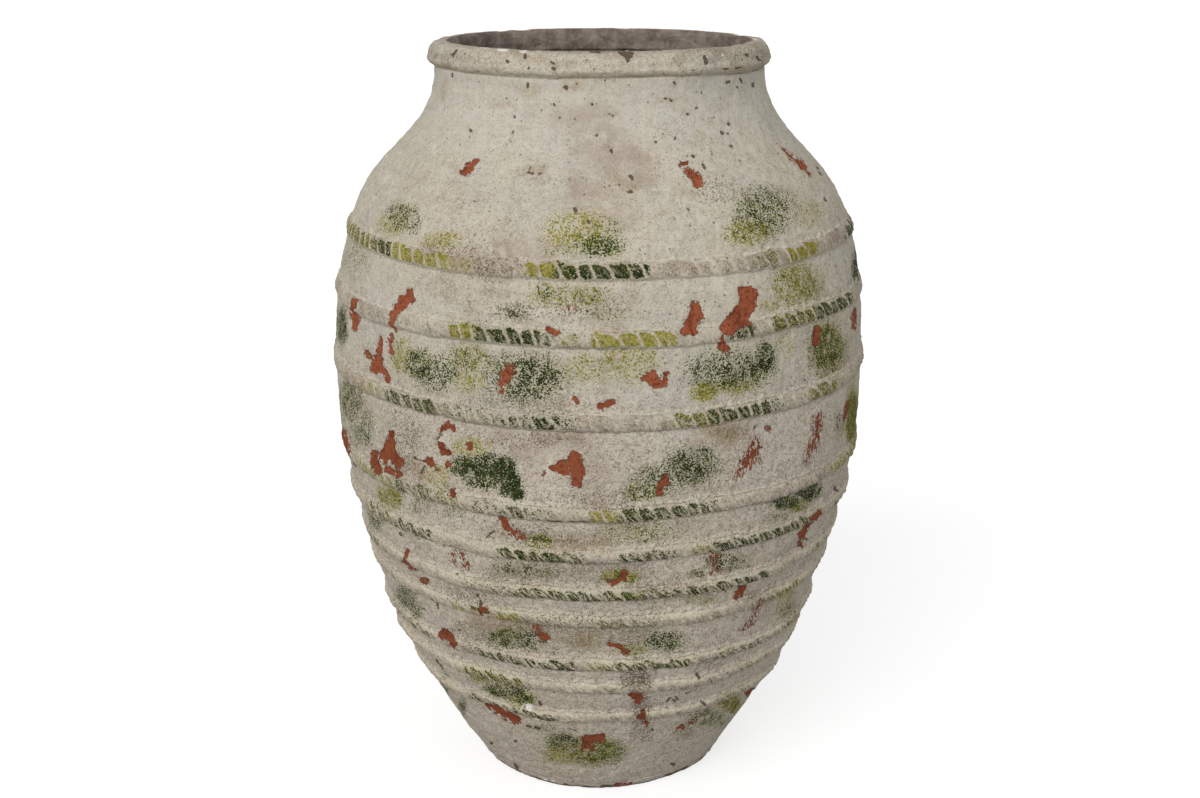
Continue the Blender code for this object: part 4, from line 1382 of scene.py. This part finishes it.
def clay_material(name, settings, groups, paint_grain, ragged, combed):
    """Worn limewash over clay, with every mark that the piece carries laid over it."""
    material = bpy.data.materials.new(name)
    material.use_nodes = True
    tree = material.node_tree
    shader = tree.nodes["Principled BSDF"]
    vector = add_node(tree, "ShaderNodeTexCoord").outputs["Object"]
    crust = mark(tree, "crust")
    green_strength = mark(tree, "green")
    yellow_strength = mark(tree, "yellow")
    wash = use_group(
        tree,
        groups["wash"],
        Vector=vector,
        Pale=colour_input(settings.pale_wash),
        Middle=colour_input(settings.middle_wash),
        Dull=colour_input(settings.dull_wash),
        Cool=colour_input(settings.cool_wash),
        Clay_Tint=colour_input(settings.clay_tint),
        Rosy=colour_input(settings.rosy_wash),
        Crust=crust,
    )
    height = wash["Height"]
    grit = wash["Grit"]
    mottle = noise(tree, vector, 46.0, detail=4.0, roughness=0.65)
    speckle = noise(tree, vector, 240.0, detail=2.0, roughness=0.7)

    def laid(over, share, strength, tint):
        """A tint laid over the colour so far, by a share times a strength."""
        return blend(tree, times(tree, share, strength), over, colour_input(tint))

    def two_tone(share, first, second):
        """A finish that changes from one tint to another."""
        return blend(tree, share, colour_input(first), colour_input(second))

    def patchy(label, pattern, low, high, least, most):
        """A piece's mark, broken up by a pattern."""
        return times(tree, mark(tree, label), remap(tree, pattern, low, high, least, most))

    def sponged(strength, grain, place=vector):
        return use_group(tree, groups["sponge"], Vector=place, Strength=strength, Grain=grain)["Mask"]

    def flaked(label, ragged_edge):
        return use_group(tree, groups["flake"], Vector=vector, Field=mark(tree, label), Ragged=ragged_edge)

    def pitted(scale, size):
        return use_group(tree, groups["pits"], Vector=vector, Scale=scale, Share=0.12, Size=size)["Mask"]

    # Cool fresh wash on the neck, cream wash and a painted highlight on the crest and lip of a band, and runs
    # of lime
    fresh = patchy("fresh", mottle, 0.34, 0.62, 0.15, 0.52)
    colour = laid(wash["Color"], fresh, 1.0, settings.fresh_wash)
    cream_and_highlight = patchy("cream_and_highlight", speckle, 0.30, 0.62, 0.25, 0.75)
    colour = laid(colour, cream_and_highlight, 1.0, settings.cream_wash_and_highlight)
    run = mark(tree, "run")
    colour = laid(colour, run, 0.35, settings.pale_wash)

    # Rubbed patches, tan smudges and dirt, with painted shade on the lower faces of the bands, along their
    # edges and creases, and under the rim
    rubbed_film_and_shade = patchy("rubbed_film_and_shade", mottle, 0.36, 0.62, 0.16, 0.66)
    colour = laid(colour, rubbed_film_and_shade, 1.0, settings.rubbed_wash_and_shade)
    smudge = patchy("smudge", speckle, 0.35, 0.60, 0.20, 0.85)
    colour = laid(colour, smudge, 0.60, settings.tan)
    grime = mark(tree, "grime")
    dirt_and_shade = larger(tree, mark(tree, "dirt_and_shade"), times(tree, grime, 0.55))
    grained = remap(tree, times_plus(tree, dirt_and_shade, 0.16, speckle), 0.50, 0.64, 0.35, 1.0)
    colour = laid(colour, times(tree, dirt_and_shade, grained), 0.40, settings.grime)

    # Fine spatter all over, thicker where the wash is crusted or grimy, and sprays of it
    spread = times_plus(tree, crust, 0.16, times(tree, grime, 0.40))
    spread = plus(tree, spread, remap(tree, mottle, 0.45, 0.70, 0.0, 0.22))
    inputs = {"Vector": vector, "Strength": spread, "Grain": paint_grain * 1.1, "Sparse": 0.70}
    spatter = use_group(tree, groups["sponge"], **inputs)["Mask"]
    spatter_tone = two_tone(remap(tree, mottle, 0.50, 0.66), settings.grime, settings.spatter)
    colour = blend(tree, times(tree, spatter, 0.66), colour, spatter_tone)
    spray = sponged(mark(tree, "spray"), paint_grain)
    colour = laid(colour, spray, 0.72, settings.stain)

    # Sponged paint: a thin film of each colour, then its specks, yellow first and green over it
    colour = laid(colour, capped(tree, yellow_strength), 0.50, settings.paint_film)
    colour = laid(colour, capped(tree, green_strength), 0.46, settings.green_film)
    yellow = sponged(yellow_strength, paint_grain * 0.9)
    shifted = stretched(tree, vector, (1.0, 1.0, 1.13))
    green = sponged(green_strength, paint_grain, shifted)
    if combed:
        inputs = {"Round": mark(tree, "round"), "Across": mark(tree, "across"), "Share": mark(tree, "comb")}
        comb = use_group(tree, groups["comb"], **inputs)
        hairs = comb["Mask"]
        bare_hairs = minus(tree, 1.0, hairs)
        yellow = times(tree, yellow, bare_hairs)
        green = times(tree, green, bare_hairs)
        gaps = times(tree, comb["Gap"], remap(tree, mottle, 0.42, 0.58))
        colour = laid(colour, gaps, 0.50, settings.grime)
        colour = laid(colour, hairs, 0.60, settings.cream_wash_and_highlight)
        height = times_plus(tree, hairs, 0.0006, height)
    tone = two_tone(remap(tree, speckle, 0.36, 0.60), settings.deep_yellow, settings.pale_yellow)
    colour = blend(tree, times(tree, yellow, 0.93), colour, tone)
    thin = times_plus(tree, green_strength, -0.35, mottle)
    tone = two_tone(remap(tree, thin, 0.08, 0.55), settings.deep_green, settings.light_green)
    colour = blend(tree, green, colour, tone)

    # Pale grains stand out through the paint, and dark pores lie between them, most on the crusted wall
    grains = times(tree, remap(tree, grit, 0.62, 0.67), remap(tree, crust, 0.2, 1.0, 0.14, 0.56))
    colour = laid(colour, grains, 1.0, settings.pale_wash)
    pores = times(tree, remap(tree, grit, 0.375, 0.325), remap(tree, crust, 0.1, 1.0, 0.12, 0.36))
    colour = laid(colour, pores, 1.0, settings.grime)

    # Spatters of lime, dark specks and pits
    lime = flaked("lime", 1.0)["Mask"]
    colour = laid(colour, lime, 0.80, settings.lime)
    speck = flaked("speck", 0.75)["Mask"]
    colour = laid(colour, speck, 0.84, settings.stain)
    pits = larger(tree, pitted(75.0, 0.10), times(tree, pitted(190.0, 0.18), 0.8))
    colour = laid(colour, pits, 0.75, settings.pit_and_edge_shade)

    # Chips and scrapes down to the red clay
    chip = flaked("chip", ragged)
    slivers = noise(tree, stretched(tree, vector, (1.0, 1.0, 0.45)), 430.0, detail=2.0, roughness=0.7)
    slivers = remap(tree, slivers, 0.35, 0.65, -4.5, 4.5, smooth=False)
    sliver_field = minus(tree, plus(tree, slivers, mark(tree, "scrape")), 2.4)
    bared = larger(tree, chip["Mask"], remap(tree, sliver_field, -0.5, 0.6))
    red = two_tone(remap(tree, mottle, 0.20, 0.56), settings.deep_red, settings.red_clay)
    red = laid(red, remap(tree, speckle, 0.51, 0.62), 0.70, settings.deep_red)
    red = laid(red, remap(tree, crust, 0.45, 1.00), 0.34, settings.deep_red)
    red = laid(red, remap(tree, grit, 0.58, 0.70), 0.35, settings.clay_tint)
    colour = blend(tree, bared, colour, red)
    # Painted shade along the edges of the chips
    colour = laid(colour, chip["Edge Shade"], 0.48, settings.pit_and_edge_shade)

    # Bare clay inside the jar, with the wash feathering out over the lip
    lap = plus(tree, centred(tree, speckle), mark(tree, "inside"))
    lap = times_plus(tree, centred(tree, mottle), 0.8, lap)
    bare = two_tone(remap(tree, mottle, 0.35, 0.68), settings.inside_dark, settings.inside_pale)
    bare = laid(bare, remap(tree, speckle, 0.50, 0.72), 0.6, settings.inside_pale)
    colour = blend(tree, remap(tree, lap, 0.35, 0.60), colour, bare)

    # How far each mark stands out of the wash or lies in it, in metres
    for share, rise in (
        (bared, -0.0010),
        (pits, -0.0008),
        (speck, -0.0008),
        (lime, 0.0006),
        (run, 0.0005),
        (green, -0.00015),
    ):
        height = times_plus(tree, share, rise, height)
    bump = add_node(tree, "ShaderNodeBump", {"Strength": 1.0, "Distance": 1.0, "Height": height})
    tree.links.new(colour, shader.inputs["Base Color"])
    tree.links.new(bump.outputs["Normal"], shader.inputs["Normal"])
    tree.links.new(remap(tree, grit, 0.3, 0.7, 0.97, 0.88), shader.inputs["Roughness"])
    shader.inputs["Specular IOR Level"].default_value = 0.08
    return material


def shared_groups():
    """The node groups that every clay material uses, made once."""
    made = {}
    for key, name, build in (
        ("sponge", "Sponged paint", sponge_group),
        ("flake", "Flaked wash", flake_group),
        ("pits", "Pits", pit_group),
        ("comb", "Combed hairs", comb_group),
        ("wash", "Brushed limewash", wash_group),
    ):
        made[key] = bpy.data.node_groups.get(name) or build()
    return made


def clay(name, settings):
    """One of the jar's clay finishes, made the first time that it is asked for."""
    found = bpy.data.materials.get(name)
    if found:
        return found
    grain, ragged, combed = CLAY_FINISHES[name]
    return clay_material(name, settings, shared_groups(), grain, ragged, combed)


def length_setting(name, description, metres):
    """One of the jar's sizes."""
    return bpy.props.FloatProperty(name=name, description=description, default=metres, unit="LENGTH")


def colour_setting(name, description, *levels):
    """One of the jar's colours, given as a screen shows it, from 0 to 255."""
    return bpy.props.FloatVectorProperty(
        name=name, description=description, default=linear(*levels), subtype="COLOR"
    )


class StorageJarSettings(bpy.types.PropertyGroup):
    """Sizes and colours of the jar's surface."""

    rope_width: length_setting("Rope width", "Width of a rope band along the wall", 0.021)
    rope_proud: length_setting("Rope height", "How far a rope band stands out from the wall", 0.0046)
    twist_pitch: length_setting("Twist pitch", "Distance from one twist mark to the next", 0.0176)
    twist_width: length_setting("Twist ridge width", "Half width of the ridge between twist marks", 0.0016)
    twist_height: length_setting("Twist ridge height", "Height of the ridge between twist marks", 0.0013)
    lump_height: length_setting("Lump height", "Unevenness that hand building left in the wall", 0.0009)
    groove_depth: length_setting("Groove depth", "Depth of the tool's groove under a rope band", 0.0006)
    throwing_ridge: length_setting("Finger ridges", "Height of the finger ridges inside the jar", 0.0009)
    chip_depth: length_setting("Chip depth", "Depth of a chip in the wash", 0.0010)
    pale_wash: colour_setting("Pale wash", "Limewash where it lies thick", 206, 199, 183)
    middle_wash: colour_setting("Wash", "The limewash's main colour", 187, 179, 162)
    dull_wash: colour_setting("Dull wash", "Limewash where it is thin and dirty", 164, 153, 136)
    cool_wash: colour_setting("Cool wash", "Limewash with a grey cast", 180, 176, 167)
    # Also the colour of the painted highlight on the crests and lips of the bands
    cream_wash_and_highlight: colour_setting("Cream wash", "Limewash on the crests of the bands", 208, 197, 170)
    fresh_wash: colour_setting("Fresh wash", "Cool, clean limewash on the neck", 196, 193, 183)
    # Also the colour of the painted shade on the lower faces of the bands
    rubbed_wash_and_shade: colour_setting("Rubbed wash", "Limewash rubbed down to a pinkish film", 154, 135, 120)
    rosy_wash: colour_setting("Rosy wash", "Limewash low on the wall", 182, 170, 157)
    clay_tint: colour_setting("Clay tint", "Clay showing through the wash", 132, 113, 93)
    tan: colour_setting("Tan", "Rusty smudges", 152, 128, 92)
    # Also the colour of the painted shade along the bands and under the rim
    grime: colour_setting("Grime", "Dirt along the bands", 108, 92, 76)
    spatter: colour_setting("Spatter", "Fine greenish spatter", 104, 100, 68)
    stain: colour_setting("Specks", "Dark specks and holes", 76, 55, 36)
    # Also the colour of the painted shade along the edges of chips
    pit_and_edge_shade: colour_setting("Pits", "Bottoms of pits and outlines of chips", 80, 62, 48)
    lime: colour_setting("Lime", "Spatters of fresh lime", 236, 233, 224)
    paint_film: colour_setting("Yellow film", "Thin film of yellow round a dab", 166, 157, 98)
    green_film: colour_setting("Green film", "Thin film of green round a dab", 134, 136, 102)
    deep_green: colour_setting("Deep green", "Thick green paint", 32, 42, 14)
    light_green: colour_setting("Light green", "Thin green paint", 74, 84, 34)
    deep_yellow: colour_setting("Deep yellow", "Thick yellow paint", 106, 100, 16)
    pale_yellow: colour_setting("Pale yellow", "Thin yellow paint", 146, 138, 50)
    red_clay: colour_setting("Red clay", "Fired clay in a fresh chip", 152, 84, 57)
    deep_red: colour_setting("Deep red clay", "Fired clay in an old chip", 96, 46, 28)
    inside_pale: colour_setting("Inside", "Dusty clay inside the jar", 142, 130, 120)
    inside_dark: colour_setting("Inside, dark", "Damp clay inside the jar", 102, 90, 82)
    floor: colour_setting("Floor", "The studio floor", 180, 180, 180)


class JAR_OT_floor(bpy.types.Operator):
    """Build the floor slab and the coil that seals its corner"""

    bl_idname = "jar.floor"
    bl_label = "Floor and seal coil"

    def execute(self, context):
        settings = context.scene.storage_jar
        make_slab(clay("Bare clay", settings), settings)
        make_seal(clay("Bare clay", settings), settings)
        return {"FINISHED"}


class JAR_OT_wall(bpy.types.Operator):
    """Build the eight courses of the wall"""

    bl_idname = "jar.wall"
    bl_label = "Wall courses"

    def execute(self, context):
        settings = context.scene.storage_jar
        for index in range(len(COURSES)):
            make_course(index, clay("Limewashed clay", settings), settings)
        return {"FINISHED"}


class JAR_OT_rim(bpy.types.Operator):
    """Build the rolled rim"""

    bl_idname = "jar.rim"
    bl_label = "Rolled rim"

    def execute(self, context):
        settings = context.scene.storage_jar
        make_rim(clay("Limewashed clay", settings), settings)
        return {"FINISHED"}


class JAR_OT_rope_bands(bpy.types.Operator):
    """Build the rope bands and their twist marks"""

    bl_idname = "jar.rope_bands"
    bl_label = "Rope bands"

    def execute(self, context):
        settings = context.scene.storage_jar
        for index in range(len(BANDS)):
            make_band(index, clay("Painted rope clay", settings), settings)
        return {"FINISHED"}


class JAR_OT_studio(bpy.types.Operator):
    """Set up the floor, the light and the photograph's camera"""

    bl_idname = "jar.studio"
    bl_label = "Studio"

    def execute(self, context):
        make_floor(context.scene.storage_jar)
        make_lights(context.scene)
        make_camera(context.scene)
        context.scene.view_settings.view_transform = "Standard"
        return {"FINISHED"}


def make_floor(settings):
    """A pale floor that the camera sees as white, with the jar's shadow on it."""
    shape = bmesh.new()
    bmesh.ops.create_grid(shape, x_segments=1, y_segments=1, size=FLOOR_HALF)
    mesh = bpy.data.meshes.new("studio_floor")
    shape.to_mesh(mesh)
    shape.free()
    material = bpy.data.materials.new("Studio floor")
    material.use_nodes = True
    tree = material.node_tree
    tree.nodes.clear()
    matt = add_node(tree, "ShaderNodeBsdfDiffuse", {"Color": colour_input(settings.floor)})
    path = add_node(tree, "ShaderNodeLightPath")
    seen = larger(tree, path.outputs["Is Camera Ray"], path.outputs["Is Glossy Ray"])
    seen = larger(tree, seen, path.outputs["Is Transmission Ray"])
    lift = times(tree, seen, FLOOR_LIFT)
    glow = add_node(tree, "ShaderNodeEmission", {"Color": (1.0, 1.0, 1.0, 1.0), "Strength": lift})
    both = add_node(tree, "ShaderNodeAddShader", {0: matt.outputs[0], 1: glow.outputs[0]})
    out = add_node(tree, "ShaderNodeOutputMaterial")
    tree.links.new(both.outputs[0], out.inputs["Surface"])
    mesh.materials.append(material)
    floor = bpy.data.objects.new("studio_floor", mesh)
    bpy.context.scene.collection.objects.link(floor)


def make_lights(scene):
    """A broad soft key from the front left, weaker lights right and behind, and an even white surround."""
    for name, strength, spread, turn, tilt in (
        ("key_light", 1.99, 45.0, -30.0, 59.0),
        ("fill_light", 0.54, 60.0, 50.0, 72.0),
        ("back_light", 0.75, 60.0, 180.0, 80.0),
    ):
        lamp = bpy.data.lights.new(name, "SUN")
        lamp.energy = strength
        lamp.angle = math.radians(spread)
        light = bpy.data.objects.new(name, lamp)
        light.rotation_euler = (math.radians(tilt), 0.0, math.radians(turn))
        scene.collection.objects.link(light)
    world = bpy.data.worlds.new("studio")
    world.use_nodes = True
    tree = world.node_tree
    tree.nodes.clear()
    path = add_node(tree, "ShaderNodeLightPath")
    seen = larger(tree, path.outputs["Is Camera Ray"], path.outputs["Is Transmission Ray"])
    strength = remap(tree, seen, 0.0, 1.0, SURROUND_LIGHT, 1.0, smooth=False)
    glow = add_node(tree, "ShaderNodeBackground", {"Color": (1.0, 1.0, 1.0, 1.0), "Strength": strength})
    out = add_node(tree, "ShaderNodeOutputWorld")
    tree.links.new(glow.outputs[0], out.inputs["Surface"])
    scene.world = world


def make_camera(scene):
    lens = bpy.data.cameras.new("camera")
    lens.lens = CAMERA_LENS
    lens.sensor_width = SENSOR_WIDTH
    camera = bpy.data.objects.new("camera", lens)
    camera.location = CAMERA_PLACE
    camera.rotation_euler = (math.pi / 2 - CAMERA_PITCH, 0.0, 0.0)
    scene.collection.objects.link(camera)
    scene.camera = camera


class VIEW3D_PT_storage_jar(bpy.types.Panel):
    """The jar's operators and settings"""

    bl_label = "Storage Jar"
    bl_space_type = "VIEW_3D"
    bl_region_type = "UI"
    bl_category = "Storage Jar"

    def draw(self, context):
        column = self.layout.column()
        for step in STEPS:
            column.operator(step.bl_idname)
        for name in StorageJarSettings.__annotations__:
            column.prop(context.scene.storage_jar, name)


STEPS = (JAR_OT_floor, JAR_OT_wall, JAR_OT_rim, JAR_OT_rope_bands, JAR_OT_studio)
CLASSES = (StorageJarSettings, *STEPS, VIEW3D_PT_storage_jar)


def register():
    for item in CLASSES:
        bpy.utils.register_class(item)
    bpy.types.Scene.storage_jar = bpy.props.PointerProperty(type=StorageJarSettings)


def unregister():
    del bpy.types.Scene.storage_jar
    for item in reversed(CLASSES):
        bpy.utils.unregister_class(item)


def main():
    register()
    bpy.ops.jar.floor()
    bpy.ops.jar.wall()
    bpy.ops.jar.rim()
    bpy.ops.jar.rope_bands()
    bpy.ops.jar.studio()


if __name__ == "__main__":
    main()
